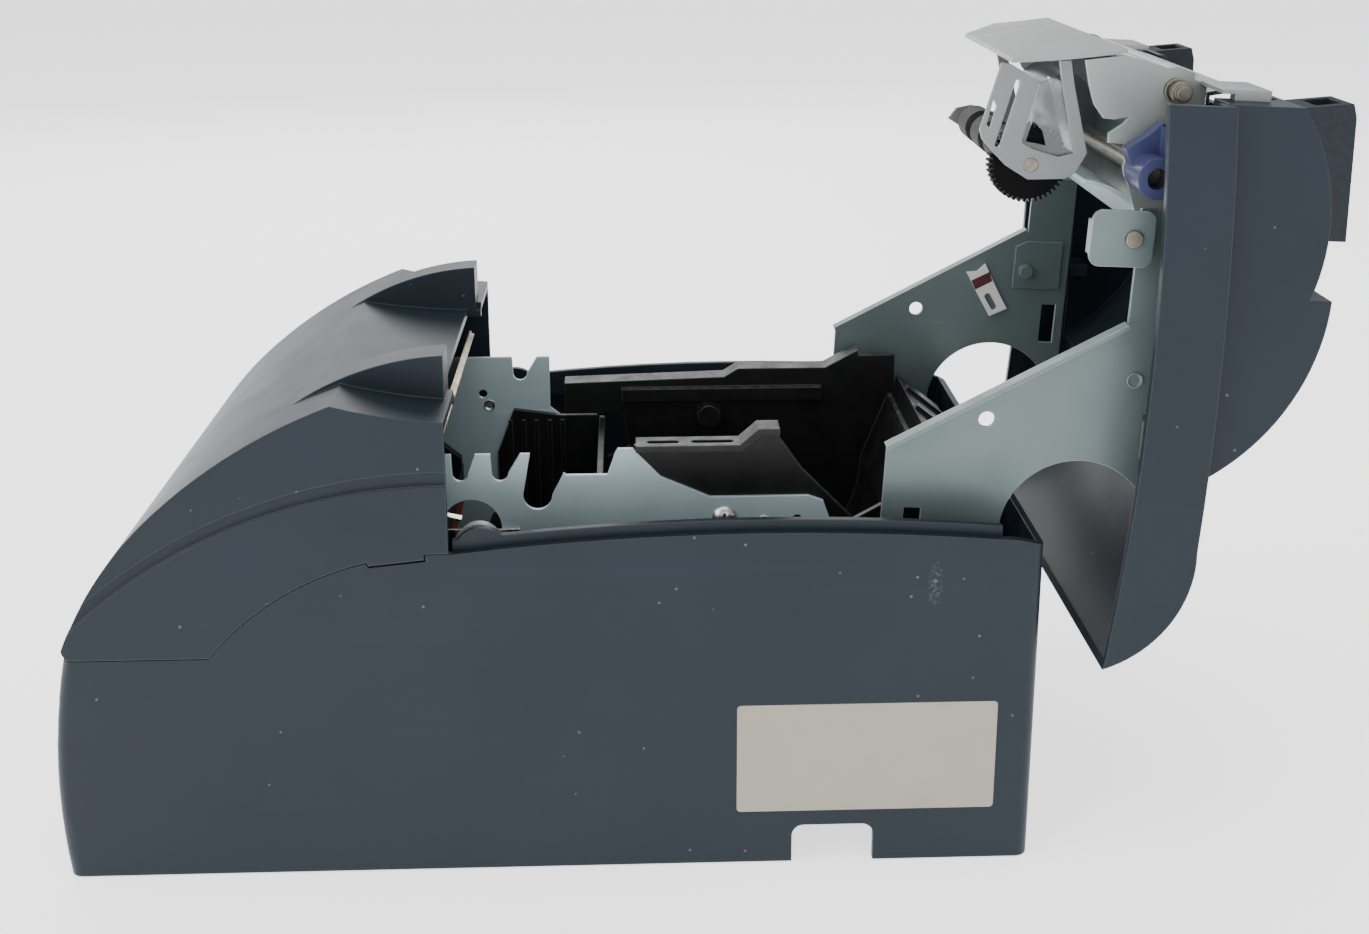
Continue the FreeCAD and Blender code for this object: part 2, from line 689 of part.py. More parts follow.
def plate_dimple():
    return rod(ROLL_Y + 2.5, ROLL_Z + 15.7, 1.5, PLATE_OUT - 0.1, PLATE_OUT + 0.5)


def right_plate():
    """Near plate, notched on top for the two shafts that drop in with the cover."""
    plate = prism("yz", plate_profile(right_top()), PLATE_X, PLATE_OUT)
    high = PLATE_TOP_Z + 2
    cuts = plate_holes()
    cuts.append(top_notch(LOCK_SHAFT_Y, LOCK_SHAFT_Z, LOCK_SHAFT_R + SLIDE_FIT, LOCK_SHAFT_Y - 2.6,
                          LOCK_SHAFT_Y + 5.2, high))
    cuts.append(top_notch(DRIVE_SHAFT_Y, DRIVE_SHAFT_Z, DRIVE_SHAFT_R + 1.3, DRIVE_SHAFT_Y - 1.6,
                          DRIVE_SHAFT_Y + 12, high))
    cuts.append(rod(DRUM_Y - 2.5, DRUM_Z + 3.5, 9.0, 0, HALF))
    cuts.append(rod(*pinion_centre(), MOTOR_SHAFT_R + 1.0, 0, HALF))
    return join(plate.cut(cuts), [plate_dimple()])


def left_plate():
    """Far plate, lower behind the paper guide, with a small hole near its front."""
    plate = prism("yz", plate_profile(left_top()), PLATE_X, PLATE_OUT)
    cuts = plate_holes() + [rod(JOIN_Y - 0.8, EDGE_FRONT_Z + 5.5, 1.5, 0, HALF)]
    return mirrored(join(plate.cut(cuts), [plate_dimple()]))


def pan_head(y, z, seat):
    """Cross-head screw along X with its domed head outside the plate."""
    head = Part.makeSphere(SCREW_HEAD_R * 1.25, vec(seat - SCREW_HEAD_R * 0.65, y, z))
    head = head.common(rod(y, z, SCREW_HEAD_R, seat, seat + SCREW_HEAD_R))
    cross = [box(seat + 1.2, seat + 4, y - 0.4, y + 0.4, z - 1.9, z + 1.9)]
    cross.append(box(seat + 1.2, seat + 4, y - 1.9, y + 1.9, z - 0.4, z + 0.4))
    shank = rod(y, z, SCREW_R, seat - SHEET - 5.0, seat)
    return join(head.cut(cross), [shank])


def frame_screws():
    screws = []
    for y, z in SCREW_PLACES:
        screws += both(pan_head(y, z, PLATE_OUT))
    return screws


def chassis_floor():
    """Sheet that ties the side plates together on the floor of the case."""
    y0 = PLATE_FRONT_Y + 4.0
    y1 = BAY_Y - WALL - 4.0
    tray = box(-PLATE_X, PLATE_X, y0, y1, FLOOR, FLOOR + SHEET)
    cuts = []
    for x in (-24.0, 24.0):
        cuts.append(slot("xy", (x, y0 + 20.0), (x, y1 - 20.0), 16.0, 0, FLOOR + 5))
    return tray.cut(cuts)


# Roll holder and paper guide

def holder_section(depth):
    """Trough that takes the paper roll; depth sets the inside line off the outside one."""
    r = TROUGH_R - depth
    points = [(ROLL_Y - TROUGH_R - 1.0 + depth, ROLL_Z + 16.0), (ROLL_Y - r, ROLL_Z)]
    points.append((ROLL_Y, ROLL_Z - r, ROLL_Y + r, ROLL_Z))
    points.append((TROUGH_REAR_Y - depth, ROLL_Z + 23.0))
    return points


def holder_side(outline):
    return prism("yz", outline, PLATE_X - HOLDER_WALL, PLATE_X - 0.1)


def trough_line():
    """Lower outline shared by both side walls of the holder."""
    points = [(ROLL_Y - TROUGH_R, ROLL_Z), (ROLL_Y, ROLL_Z - TROUGH_R, ROLL_Y + TROUGH_R, ROLL_Z)]
    return points + [(TROUGH_REAR_Y, ROLL_Z + 23.0)]


def right_outline():
    points = trough_line() + [(TROUGH_REAR_Y - 12.0, ROLL_Z + 23.0)]
    points += [(ROLL_Y + 29.6, ROLL_Z + 15.0), (ROLL_Y + 14.0, RIM_Z - 8.2), (ROLL_Y + 5.0, RIM_Z + 4.8)]
    points += [(ROLL_Y + 0.8, RIM_Z + 4.8), (ROLL_Y - 4.6, RIM_Z), (ROLL_Y - 36.0, RIM_Z)]
    return points + [(ROLL_Y - 37.0, ROLL_Z + 5.0)]


def left_rim_line():
    """Top of the holder's far wall, stepping up towards the rear."""
    points = [(JOIN_Y + 28.0, ROLL_Z + 26.4), (ROLL_Y - 4.0, ROLL_Z + 28.0), (ROLL_Y + 0.9, ROLL_Z + 31.0)]
    return points + [(ROLL_Y + 31.6, ROLL_Z + 31.0), (ROLL_Y + 43.0, ROLL_Z + 37.2)]


def left_outline():
    top = left_rim_line() + [(TROUGH_REAR_Y, ROLL_Z + 37.4)]
    nose = [(JOIN_Y + 28.0, ROLL_Z + 17.2), (ROLL_Y - 40.0, ROLL_Z + 17.2), (ROLL_Y - 37.0, ROLL_Z + 5.0)]
    return trough_line() + top[::-1] + nose


def left_rim():
    """Narrow shelf along the top of the far wall, with a ledge below it on the inside."""
    line = left_rim_line()
    raised = [(y, z + HOLDER_WALL) for y, z in line]
    shelf = prism("yz", line + raised[::-1], PLATE_X - HOLDER_WALL, PLATE_OUT + RIM_REACH)
    low = ROLL_Z + 22.0
    ledge = box(PLATE_X - HOLDER_WALL - 2.4, PLATE_X - 1.0, ROLL_Y - 40.0, ROLL_Y + 30.0, low, low + 4.6)
    return [mirrored(shelf), mirrored(ledge)]


def right_rim():
    """Wide shelf on the near wall of the holder, with two long slots."""
    top = RIM_Z + HOLDER_WALL
    points = [(ROLL_Y - 35.5, RIM_Z), (ROLL_Y - 4.6, RIM_Z), (ROLL_Y + 0.8, RIM_Z + 4.8)]
    points += [(ROLL_Y + 5.0, RIM_Z + 4.8), (ROLL_Y + 6.5, RIM_Z + 4.8)]
    points += [(ROLL_Y + 6.5, top + 4.8), (ROLL_Y + 0.2, top + 4.8)]
    points += [(ROLL_Y - 5.2, top), (ROLL_Y - 35.5, top)]
    rim = prism("yz", points, PLATE_X - HOLDER_WALL, PLATE_OUT + RIM_REACH)
    middle = PLATE_OUT + 1.2
    cut = slot("xy", (middle, ROLL_Y - 31.0), (middle, ROLL_Y - 24.0), 2.4, RIM_Z - 1, top + 1)
    second = slot("xy", (middle, ROLL_Y - 18.0), (middle, ROLL_Y - 8.0), 2.4, RIM_Z - 1, top + 1)
    return rim.cut([cut, second])


def roll_paper_holder():
    out = holder_section(0)
    inside = holder_section(HOLDER_WALL)
    points = out + [inside[3], inside[2][2:], inside[2][:2] + inside[1], inside[0]]
    trough = prism("yz", points, -PLATE_X + HOLDER_WALL / 2, PLATE_X - HOLDER_WALL / 2)
    rear = TROUGH_REAR_Y
    apron = sheet([(rear - 1.0, ROLL_Z + 22.5), (rear + 0.5, ROLL_Z + 31.0), (rear + 15.5, ROLL_Z + 19.0)],
                  HOLDER_WALL, -PLATE_X + 4, PLATE_X - 4)
    sides = [holder_side(right_outline()), mirrored(holder_side(left_outline()))]
    parts = sides + left_rim() + [right_rim(), apron]
    for x in (-30.0, -10.0, 10.0, 30.0):
        ends = [(rear + 1.9, ROLL_Z + 31.4), (rear + 15.4, ROLL_Z + 20.6)]
        parts.append(sheet(ends, 1.6, x - 1.2, x + 1.2))
    holes = []
    for y, z in SCREW_PLACES:
        parts += both(rod(y, z, 4.0, PLATE_X - 6.0, PLATE_X))
        holes += both(rod(y, z, SCREW_R + 0.02, PLATE_X - 5.0, PLATE_X + 1))
    return join(trough, parts).cut(holes)


def paper_guide():
    """Ribbed cheeks inside the plates with a curved floor; the far cheek runs back to the roll."""
    front = JOIN_Y + 4.0
    rear = JOIN_Y + CUTTER_ROOM - 12.0
    trough = ROLL_Y - TROUGH_R - 1.7
    inside = PLATE_X - 1.8
    foot = EDGE_FRONT_Z - 49.8
    top = EDGE_FRONT_Z
    head = [(front + 6, top + 0.2), (front, top - 15.8)]
    near = [(front, foot), (rear + 4, foot), (rear, foot + 14.0), (rear, top - 0.8)] + head
    far = [(front, foot), (rear + 4, foot), (trough, foot + 14.0), (trough, ROLL_Z + 16.6)]
    far += [(rear - 2, ROLL_Z + 16.6)] + head
    ribs = []
    for step in range(5):
        y = front + 4.0 + 4.6 * step
        ribs.append(box(inside - 0.3, inside + 0.1, y, y + 1.4, foot + 2.0, top - 3.8))
    shaft_hole = rod(*pinion_centre(), MOTOR_SHAFT_R + 1.0, 0, HALF)
    near_cheek = join(prism("yz", near, inside, PLATE_X - 0.1), ribs).cut(shaft_hole)
    far_cheek = mirrored(join(prism("yz", far, inside, PLATE_X - 0.1), ribs))
    tray = sheet([(front - 8, foot + 6.0), (front + 10, foot - 3.0, rear + 6, foot + 2.0)], HOLDER_WALL,
                 -PLATE_X + 0.1, PLATE_X - 0.1)
    return join(tray, [near_cheek, far_cheek])


# Print mechanism

def guide_shaft():
    return rod(GUIDE_SHAFT_Y, GUIDE_SHAFT_Z, GUIDE_SHAFT_R, -PLATE_OUT - 3, PLATE_OUT + 3)


def carriage():
    front = GUIDE_SHAFT_Y - 10.0
    points = [(front, GUIDE_SHAFT_Z - 6), (GUIDE_SHAFT_Y + 7, GUIDE_SHAFT_Z - 6)]
    points += [(GUIDE_SHAFT_Y + 7, HEAD_Z - 8), (front, HEAD_Z - 8)]
    block = prism("yz", points, -CARRIAGE_HALF, CARRIAGE_HALF)
    clip = box(-5, 5, BELT_Y + PULLEY_R + 1.2 + SLIDE_FIT, front + 1, BELT_Z, BELT_Z + BELT_WIDTH)
    fence = box(CARRIAGE_HALF - 2, CARRIAGE_HALF, front, GUIDE_SHAFT_Y + 2, HEAD_Z - 8.1, HEAD_Z + 4)
    body = join(block, [clip] + both(fence))
    return body.cut(rod(GUIDE_SHAFT_Y, GUIDE_SHAFT_Z, GUIDE_SHAFT_R + RUN_FIT, -HALF, HALF))


def print_head():
    """Round impact head with cooling fins and a narrow nose that faces the platen."""
    width = CARRIAGE_HALF - 2 - SLIDE_FIT
    low = HEAD_Z - 8
    y0 = GUIDE_SHAFT_Y - 12
    body = Part.makeCylinder(width - 2, 16, vec(0, y0, HEAD_Z), vec(0, 1, 0))
    fins = []
    for step in range(5):
        y = y0 + 1.0 + 3.2 * step
        fins.append(box(-width, width, y, y + 1.6, low, HEAD_Z + 12))
    nose = Part.makeCone(6.0, 2.6, HEAD_TIP_Y - y0 - 16, vec(0, y0 + 16, HEAD_Z), vec(0, 1, 0))
    body = body.common(box(-HALF, HALF, 0, CASE_DEPTH, low, ABOVE))
    return join(body, fins + [nose])


def belt_bracket():
    """Shelf between the plates that carries the belt pulleys."""
    low = BELT_Z - 3.0
    shelf = box(-PLATE_X, PLATE_X, PLATE_FRONT_Y + 1, BELT_Y + 16, low - SHEET, low)
    hole = Part.makeCylinder(MOTOR_NECK_R + 0.02, 20, vec(-PULLEY_SPAN, BELT_Y, low - 10))
    pin = Part.makeCylinder(MOTOR_SHAFT_R, BELT_WIDTH + 4, vec(PULLEY_SPAN, BELT_Y, low - 0.1))
    return join(shelf.cut(hole), [pin])


def carriage_motor():
    low = BELT_Z - 3.0 - SHEET
    can = Part.makeCylinder(MOTOR_R, 22, vec(-PULLEY_SPAN, BELT_Y, low - 22))
    neck = Part.makeCylinder(MOTOR_NECK_R, SHEET, vec(-PULLEY_SPAN, BELT_Y, low))
    shaft = Part.makeCylinder(MOTOR_SHAFT_R, SHEET + BELT_WIDTH + 4, vec(-PULLEY_SPAN, BELT_Y, low))
    return join(can, [neck, shaft])


def pulley(x):
    low = BELT_Z - 1.6
    wheel = Part.makeCylinder(PULLEY_R, BELT_WIDTH + 2.2, vec(x, BELT_Y, low))
    grooves = []
    for step in range(18):
        a, b = around(x, BELT_Y, PULLEY_R, 20.0 * step)
        grooves.append(Part.makeCylinder(0.35, BELT_WIDTH + 4, vec(a, b, low - 1)))
    return wheel.cut(grooves + [Part.makeCylinder(MOTOR_SHAFT_R + RUN_FIT, 20, vec(x, BELT_Y, low - 5))])


def stadium(radius):
    a = PULLEY_SPAN
    points = [(-a, BELT_Y + radius), (-a - radius, BELT_Y, -a, BELT_Y - radius), (a, BELT_Y - radius)]
    points.append((a + radius, BELT_Y, a, BELT_Y + radius))
    return points


def timing_belt():
    inner = PULLEY_R + 0.25
    loop = prism("xy", stadium(inner + 0.9), BELT_Z, BELT_Z + BELT_WIDTH)
    return loop.cut(prism("xy", stadium(inner), BELT_Z - 1, BELT_Z + BELT_WIDTH + 1))


def ribbon_cassette():
    """Wide cassette under the front cover with two arms that hold the ribbon across the platen."""
    top = HEAD_Z + 22
    low = HEAD_Z - 2
    rear = GUIDE_SHAFT_Y - 20.0
    front = rear - CASSETTE_LENGTH
    points = [(front, low), (rear, low), (rear, top), ((front + rear) / 2, top), (front, top - 13)]
    case = prism("yz", points, -HALF + 16, HALF - 16)
    arm_points = [(rear - 2, HEAD_Z + 8), (rear - 2, HEAD_Z + 18), (RIBBON_Y - 6, HEAD_Z + 14)]
    arm_points += [(RIBBON_Y, HEAD_Z + 9), (RIBBON_Y, HEAD_Z - 8), (RIBBON_Y - 4, HEAD_Z - 8)]
    arm_points.append((RIBBON_Y - 12, HEAD_Z + 6))
    arm = prism("yz", arm_points, PLATE_X - 5.0, PLATE_X - 1.5)
    foot = box(PLATE_X - 1.5, PLATE_OUT + 1.5, PLATE_FRONT_Y + 1, rear - 1, BELT_Z + 9, low + 0.1)
    return join(case, both(arm) + both(foot))


def ink_ribbon():
    return box(-PLATE_X + 1.6, PLATE_X - 1.6, RIBBON_Y, RIBBON_Y + 0.3, HEAD_Z - 7, HEAD_Z + 6)


def swept_strip(radius, thick, low, high, reach):
    """Strip across the frame that follows the cover's swing, between two angles up from the hinge."""
    inner = [around(HINGE_Y, HINGE_Z, radius, 180 - deg) for deg in (low, (low + high) / 2, high)]
    outer = [around(HINGE_Y, HINGE_Z, radius + thick, 180 - deg) for deg in (low, (low + high) / 2, high)]
    return prism("yz", [inner[0], inner[1] + inner[2], outer[2], outer[1] + outer[0]], -reach, reach)


def fixed_blade():
    """Plate with three bars across the frame, in the gap between the covers."""
    back = swept_strip(BLADE_RUN_R + 1.2, 0.8, 14.0, 20.2, PLATE_X - 3.0)
    parts = [swept_strip(BLADE_RUN_R + 1.2, 0.8, 13.0, 16.0, PLATE_X)]
    for low in (14.4, 16.5, 18.6):
        parts.append(swept_strip(BLADE_RUN_R, 1.3, low, low + 1.4, PLATE_X - 3.0))
    return join(back, parts)


def drum_wheel():
    """Small grey drum that turns on a stud outside the near plate."""
    x0 = PLATE_OUT + 0.8 + SLIDE_FIT
    wheel = rod(DRUM_Y, DRUM_Z, DRUM_R, x0, x0 + 5.4)
    flange = rod(DRUM_Y, DRUM_Z, DRUM_R + 1.0, x0 + 4.4, x0 + 5.4)
    return join(wheel, [flange]).cut(rod(DRUM_Y, DRUM_Z, 2.0 + RUN_FIT, 0, HALF))


def drum_lever():
    """Strip across the plate's window with the drum's stud and a bent spring finger."""
    x0 = PLATE_OUT
    strip = box(x0, x0 + 0.8, DRUM_Y - 16, DRUM_Y + 12, DRUM_Z - 3.4, DRUM_Z + 3.4)
    stud = rod(DRUM_Y, DRUM_Z, 2.0, x0, x0 + 7.4)
    points = [(DRUM_Y - 11, DRUM_Z + 3), (DRUM_Y - 13.5, DRUM_Z + 9.6), (DRUM_Y - 5, DRUM_Z + 7.6)]
    finger = sheet(points, 0.8, x0, x0 + 3.0)
    return join(strip, [stud, finger])


def main_board():
    y1 = BAY_Y - WALL - 8.0
    z0 = FLOOR + SHEET + 3.0
    y0 = JOIN_Y - 40.0
    board = box(-PLATE_X + 3, PLATE_X - 3, y0, y1, z0, z0 + 1.6)
    posts = []
    chips = []
    for x in (-PLATE_X + 8, PLATE_X - 8):
        for y in (y0 + 6.0, y1 - 6.0):
            posts.append(Part.makeCylinder(2.5, 3.1, vec(x, y, FLOOR + SHEET)))
    for x, y, w, d, h in ((-20.0, 42.0, 22.0, 22.0, 3.0), (16.0, 52.0, 14.0, 26.0, 4.0),
                          (22.0, 18.0, 12.0, 12.0, 12.0), (-24.0, 87.0, 30.0, 10.0, 8.0)):
        middle = y0 + y
        chips.append(box(x - w / 2, x + w / 2, middle - d / 2, middle + d / 2, z0 + 1.5, z0 + 1.6 + h))
    return join(board, posts + chips)


# Connectors, button and switch

def connector_shells():
    """Sockets on the front wall of the bay under the rear, facing the cable gap."""
    y = BAY_Y
    usb = box(-6.2, 6.2, y, y + 12, 9.0, 20.0).cut(box(-4.6, 4.6, y + 3, y + 13, 10.6, 18.4))
    jack = box(24.0, 40.0, y, y + 13, 8.0, 22.0).cut(box(25.6, 38.4, y + 3, y + 14, 9.6, 20.4))
    modular = box(-44.0, -29.0, y, y + 14, 7.5, 21.5).cut(box(-42.6, -30.4, y + 2, y + 15, 9.0, 18.5))
    return [usb, jack, modular]


def panel_board():
    board = box(LENS_XS[0] - 8, BUTTON_X + 12, BOARD_Y, BOARD_Y + 1.6, BUTTON_Z - 12, BUTTON_Z + 12)
    feet = []
    for x in (LENS_XS[0] - 5, BUTTON_X + 9):
        feet.append(Part.makeCylinder(2.2, BOARD_Y - WINDOW_Y + 2.0, vec(x, WINDOW_Y - 2.0, BUTTON_Z - 8),
                                      vec(0, 1, 0)))
    return join(board, feet).cut(case_outer().cut(case_inside()))


def feed_button():
    front = 0.6
    rear = BOARD_Y - BUTTON_TRAVEL - SLIDE_FIT
    cap = box(BUTTON_X - BUTTON_W / 2, BUTTON_X + BUTTON_W / 2, front, WINDOW_Y + 3,
              BUTTON_Z - BUTTON_H / 2, BUTTON_Z + BUTTON_H / 2)
    cap = round_edges(cap, 1.2, lambda b: b.YLength < 0.01 and b.YMax < front + 0.1)
    stem = Part.makeCylinder(2.0, rear - WINDOW_Y, vec(BUTTON_X, WINDOW_Y, BUTTON_Z), vec(0, 1, 0))
    return join(cap, [stem])


def status_lenses():
    lenses = []
    for x in LENS_XS:
        lenses.append(Part.makeCylinder(LENS_R, BOARD_Y - 1.8, vec(x, 1.8, BUTTON_Z), vec(0, 1, 0)))
    return lenses


def power_switch():
    """Switch body snapped into the front wall, open in front for the rocker."""
    x0 = SWITCH_X - SWITCH_W / 2
    x1 = SWITCH_X + SWITCH_W / 2
    z0 = BUTTON_Z - SWITCH_H / 2
    z1 = BUTTON_Z + SWITCH_H / 2
    body = box(x0 + 0.1, x1 - 0.1, 1.0, 24.0, z0 + 0.1, z1 - 0.1)
    well = box(x0 + 1.6, x1 - 1.6, 0, 18.0, z0 + 1.6, z1 - 1.6)
    pin = rod(ROCKER_Y, BUTTON_Z, 1.2, x0 + 0.5, x1 - 0.5)
    return join(body.cut(well), [pin])


def power_rocker():
    x0 = SWITCH_X - SWITCH_W / 2 + 1.6 + SLIDE_FIT
    x1 = SWITCH_X + SWITCH_W / 2 - 1.6 - SLIDE_FIT
    half = SWITCH_H / 2 - 1.6 - SLIDE_FIT - 0.6
    points = [(2.0, -half), (4.2, 0, 2.0, half), (9.0, half - 1.2), (13.0, 0), (9.0, -half + 1.2)]
    placed = [tuple(BUTTON_Z + n if i % 2 else n for i, n in enumerate(p)) for p in points]
    rocker = prism("yz", placed, x0, x1).cut(rod(ROCKER_Y, BUTTON_Z, 1.2 + RUN_FIT, -HALF, HALF))
    rocker.rotate(vec(0, ROCKER_Y, BUTTON_Z), vec(1, 0, 0), ROCKER_TILT / 2)
    return rocker


# Paper feed drive in the base

def pinion_centre():
    """Just clear of the feed gear, which drops in above it when the cover shuts."""
    reach = GEAR_MODULE * (GEAR_TEETH / 2 + 1) + GEAR_MODULE * (PINION_TEETH / 2 + 1) + SLIDE_FIT
    return (FEED_Y, FEED_Z - reach)


def spur(y, z, teeth, low, high, bore):
    """Spur wheel along X with straight-flanked teeth."""
    pitch = GEAR_MODULE * teeth / 2
    top = pitch + GEAR_MODULE
    root = pitch - 1.25 * GEAR_MODULE
    points = []
    for step in range(teeth):
        for share, radius in ((-0.30, root), (-0.14, top), (0.14, top), (0.30, root)):
            points.append(around(y, z, radius, 360.0 * (step + share) / teeth))
    return prism("yz", points, low, high).cut(rod(y, z, bore, low - 1, high + 1))


def feed_motor():
    y, z = pinion_centre()
    can = rod(y, z, 13.0, PLATE_OUT, PLATE_OUT + 8.0)
    shaft = rod(y, z, MOTOR_SHAFT_R, GEAR_X - GEAR_WIDTH, PLATE_OUT + 1)
    return join(can, [shaft])


def feed_pinion():
    y, z = pinion_centre()
    return spur(y, z, PINION_TEETH, GEAR_X - GEAR_WIDTH, GEAR_X, MOTOR_SHAFT_R + RUN_FIT)


# Roll cover shell, drawn closed

def shell_rear(depth):
    """Rounded back of the cover from the rim up to the deck."""
    radius = HINGE_DROP + COVER_GAP
    foot = around(HINGE_Y, HINGE_Z, radius, 75.0)
    foot = (foot[0] - depth, foot[1])
    knee = (HINGE_Y - 5.5 - depth * 0.7, PANEL_MID_Z - 5.8 - depth * 0.75)
    top = (HINGE_Y - 29.0, PANEL_MID_Z - depth)
    return foot, knee, top


def band_profile(depth):
    """Side band of the cover between the rim and the deck; depth moves it inwards."""
    foot, knee, top = shell_rear(depth)
    rim = case_edge(COVER_GAP - (20.0 if depth else 0.0), SHELL_FRONT_Y)
    points = list(rim)
    if depth:
        points.append((foot[0], rim[1][3]))
        points.append(foot)
    else:
        points.append(around(HINGE_Y, HINGE_Z, HINGE_DROP + COVER_GAP, 82.0) + foot)
    points.append(knee + top)
    middle = (SHELL_FRONT_Y + top[0]) / 2
    points.append((middle, PANEL_MID_Z - 0.6 - depth, SHELL_FRONT_Y, PANEL_FRONT_Z - depth))
    return points


def hump_front_arc():
    crest = (SHELL_FRONT_Y + DOME_Y) / 2 + 6.0
    return ((SHELL_FRONT_Y, HUMP_FRONT_Z), (crest, HUMP_CREST_Z), (DOME_Y, HUMP_CREST_Z - 2.6))


def dome_arc():
    middle = DOME_Y + 0.62 * (DOME_END_Y - DOME_Y)
    return ((DOME_Y, DOME_Z), (middle, DOME_Z - 9.6), (DOME_END_Y, PANEL_MID_Z - 1.0))


def hump_profile(depth):
    front = inset_arc(*hump_front_arc(), depth)
    dome = inset_arc(*dome_arc(), depth)
    low = EDGE_FRONT_Z + 6.0
    points = [(SHELL_FRONT_Y, low - depth), (SHELL_FRONT_Y, front[0][1]) if depth else front[0]]
    points.append(front[1] + (DOME_Y + depth, front[2][1]))
    points.append((DOME_Y + depth, dome[0][1]))
    points.append(dome[1] + dome[2])
    points.append((dome[2][0], low - depth))
    return points


def shell_ribs():
    """Ribs from the hump's flank to the outer face of the arm, where the cover is screwed on."""
    out = HALF - HUMP_INSET - WALL + 0.1
    ribs = []
    for y in (HINGE_Y - 76.7, HINGE_Y - 45.0):
        ribs.append(box(ARM_OUT, out, y - 2.0, y + 2.0, ARM_TOP_Z - 5.0, PANEL_MID_Z + 1.0))
    return ribs


def roll_cover_shell():
    body = prism("yz", band_profile(0), -HALF, HALF)
    top = HALF - HUMP_INSET
    hump = prism("yz", hump_profile(0), -top, top)
    body = join(body, [hump])
    inside = prism("yz", band_profile(WALL), -INNER, INNER)
    hollow = prism("yz", hump_profile(WALL), -top + WALL, top - WALL)
    exit_gap = box(-RIDGE_INNER_X, RIDGE_INNER_X, 0, SHELL_FRONT_Y + 10, HUMP_FRONT_Z - 16, ABOVE)
    body = body.cut([inside, hollow, exit_gap])
    walls = both(box(ARM_X, top - 1, SHELL_FRONT_Y, SHELL_FRONT_Y + WALL, PANEL_FRONT_Z, HUMP_FRONT_Z - 0.5))
    ribs = []
    for rib in shell_ribs():
        ribs += both(rib)
    return join(body, walls + ribs)


def cover_grips():
    """Rough finger grips on both front corners of the hump, hollowed from the front."""
    out = HALF - HUMP_INSET
    y1 = SHELL_FRONT_Y + GRIP_LENGTH - 1.0
    y0 = SHELL_FRONT_Y - 1.6
    points = [(SHELL_FRONT_Y, HUMP_FRONT_Z - 6), (SHELL_FRONT_Y, HUMP_FRONT_Z), (y0, GRIP_TOP_Z - 3.4)]
    points += [(y0 + 3.8, GRIP_TOP_Z - 2.2), (y1, GRIP_TOP_Z), (y1, HUMP_FRONT_Z - 6)]
    grip = prism("yz", points, out - GRIP_WIDTH, out)
    grip = grip.cut(prism("yz", hump_profile(0), -out, out))
    pocket = [(y0 - 1, HUMP_FRONT_Z + 3.2), (y0 - 1, GRIP_TOP_Z - 5.4), (y0 + 13, GRIP_TOP_Z - 4.6)]
    pocket += [(y0 + 13, HUMP_CREST_Z - 4.5)]
    grip = grip.cut(prism("yz", pocket, out - GRIP_WIDTH + 3, out - 3))
    return both(grip.Solids[0])


# Cover arms

def arm_profile():
    foot_y = HINGE_Y - 51.5
    foot_z = HINGE_Z - 33.9
    hole_y = HINGE_Y - 27.1
    hole_z = HINGE_Z + 23.0
    points = [(foot_y, foot_z), (HINGE_Y - 16.0, foot_z), around(HINGE_Y, HINGE_Z, HINGE_LOBE_R, -40)]
    points.append(around(HINGE_Y, HINGE_Z, HINGE_LOBE_R, 25) + around(HINGE_Y, HINGE_Z, HINGE_LOBE_R, 90))
    points.append(around(hole_y, hole_z, ARM_HOLE_R, -60))
    points.append(around(hole_y, hole_z, ARM_HOLE_R, -160) + around(hole_y, hole_z, ARM_HOLE_R, 100))
    points.append((around(hole_y, hole_z, ARM_HOLE_R, 100)[0], ARM_TOP_Z))
    points += [(ARM_FRONT_Y, ARM_TOP_Z), (ARM_FRONT_Y, ARM_STRIP_Z), (HINGE_Y - 90.0, ARM_STRIP_Z)]
    return points


def cover_arm():
    plate = prism("yz", arm_profile(), ARM_X, ARM_OUT)
    start = (HINGE_Y - 90.0, ARM_STRIP_Z)
    end = (HINGE_Y - 51.5, HINGE_Z - 33.9)
    flange = sheet([start, end], SHEET, ARM_X, ARM_OUT + ARM_FLANGE)
    cuts = [rod(HINGE_Y, HINGE_Z, HINGE_PIN_R + RUN_FIT, 0, HALF)]
    cuts.append(rod(HINGE_Y - 60.8, HINGE_Z - 5.6, 2.35, 0, HALF))
    cuts.append(box(0, HALF, HINGE_Y - 33.0, HINGE_Y - 29.0, HINGE_Z - 27.4, HINGE_Z - 22.4))
    cuts.append(box(0, HALF, HINGE_Y - 64.0, HINGE_Y - 50.0, ARM_TOP_Z - 8.0, ARM_TOP_Z - 3.0))
    return join(plate, [flange]).cut(cuts)


def latch_bracket():
    """Rounded tab outside each arm that carries the latch pin."""
    y0 = ARM_FRONT_Y
    y1 = y0 + 16.0
    z0 = ARM_STRIP_Z - 14.6
    z1 = ARM_STRIP_Z + 3.2
    out = ARM_OUT + 4.0
    tab = box(out - SHEET, out, y0, y1, z0, z1)
    tab = round_edges(tab, 3.0, lambda b: b.XLength > 0.5 and b.YLength < 0.01 and b.ZLength < 0.01)
    web = box(ARM_OUT, out - SHEET + 0.1, y0 + 3.2, y1 - 3.2, z1 - SHEET, z1)
    lip = box(ARM_OUT, out - SHEET + 0.1, y0 + 3.2, y1 - 3.2, z0, z0 + SHEET)
    return join(tab, [web, lip]).cut(rod(y0 + 8.0, ARM_STRIP_Z - 2.4, LATCH_PIN_R + 0.02, 0, HALF))


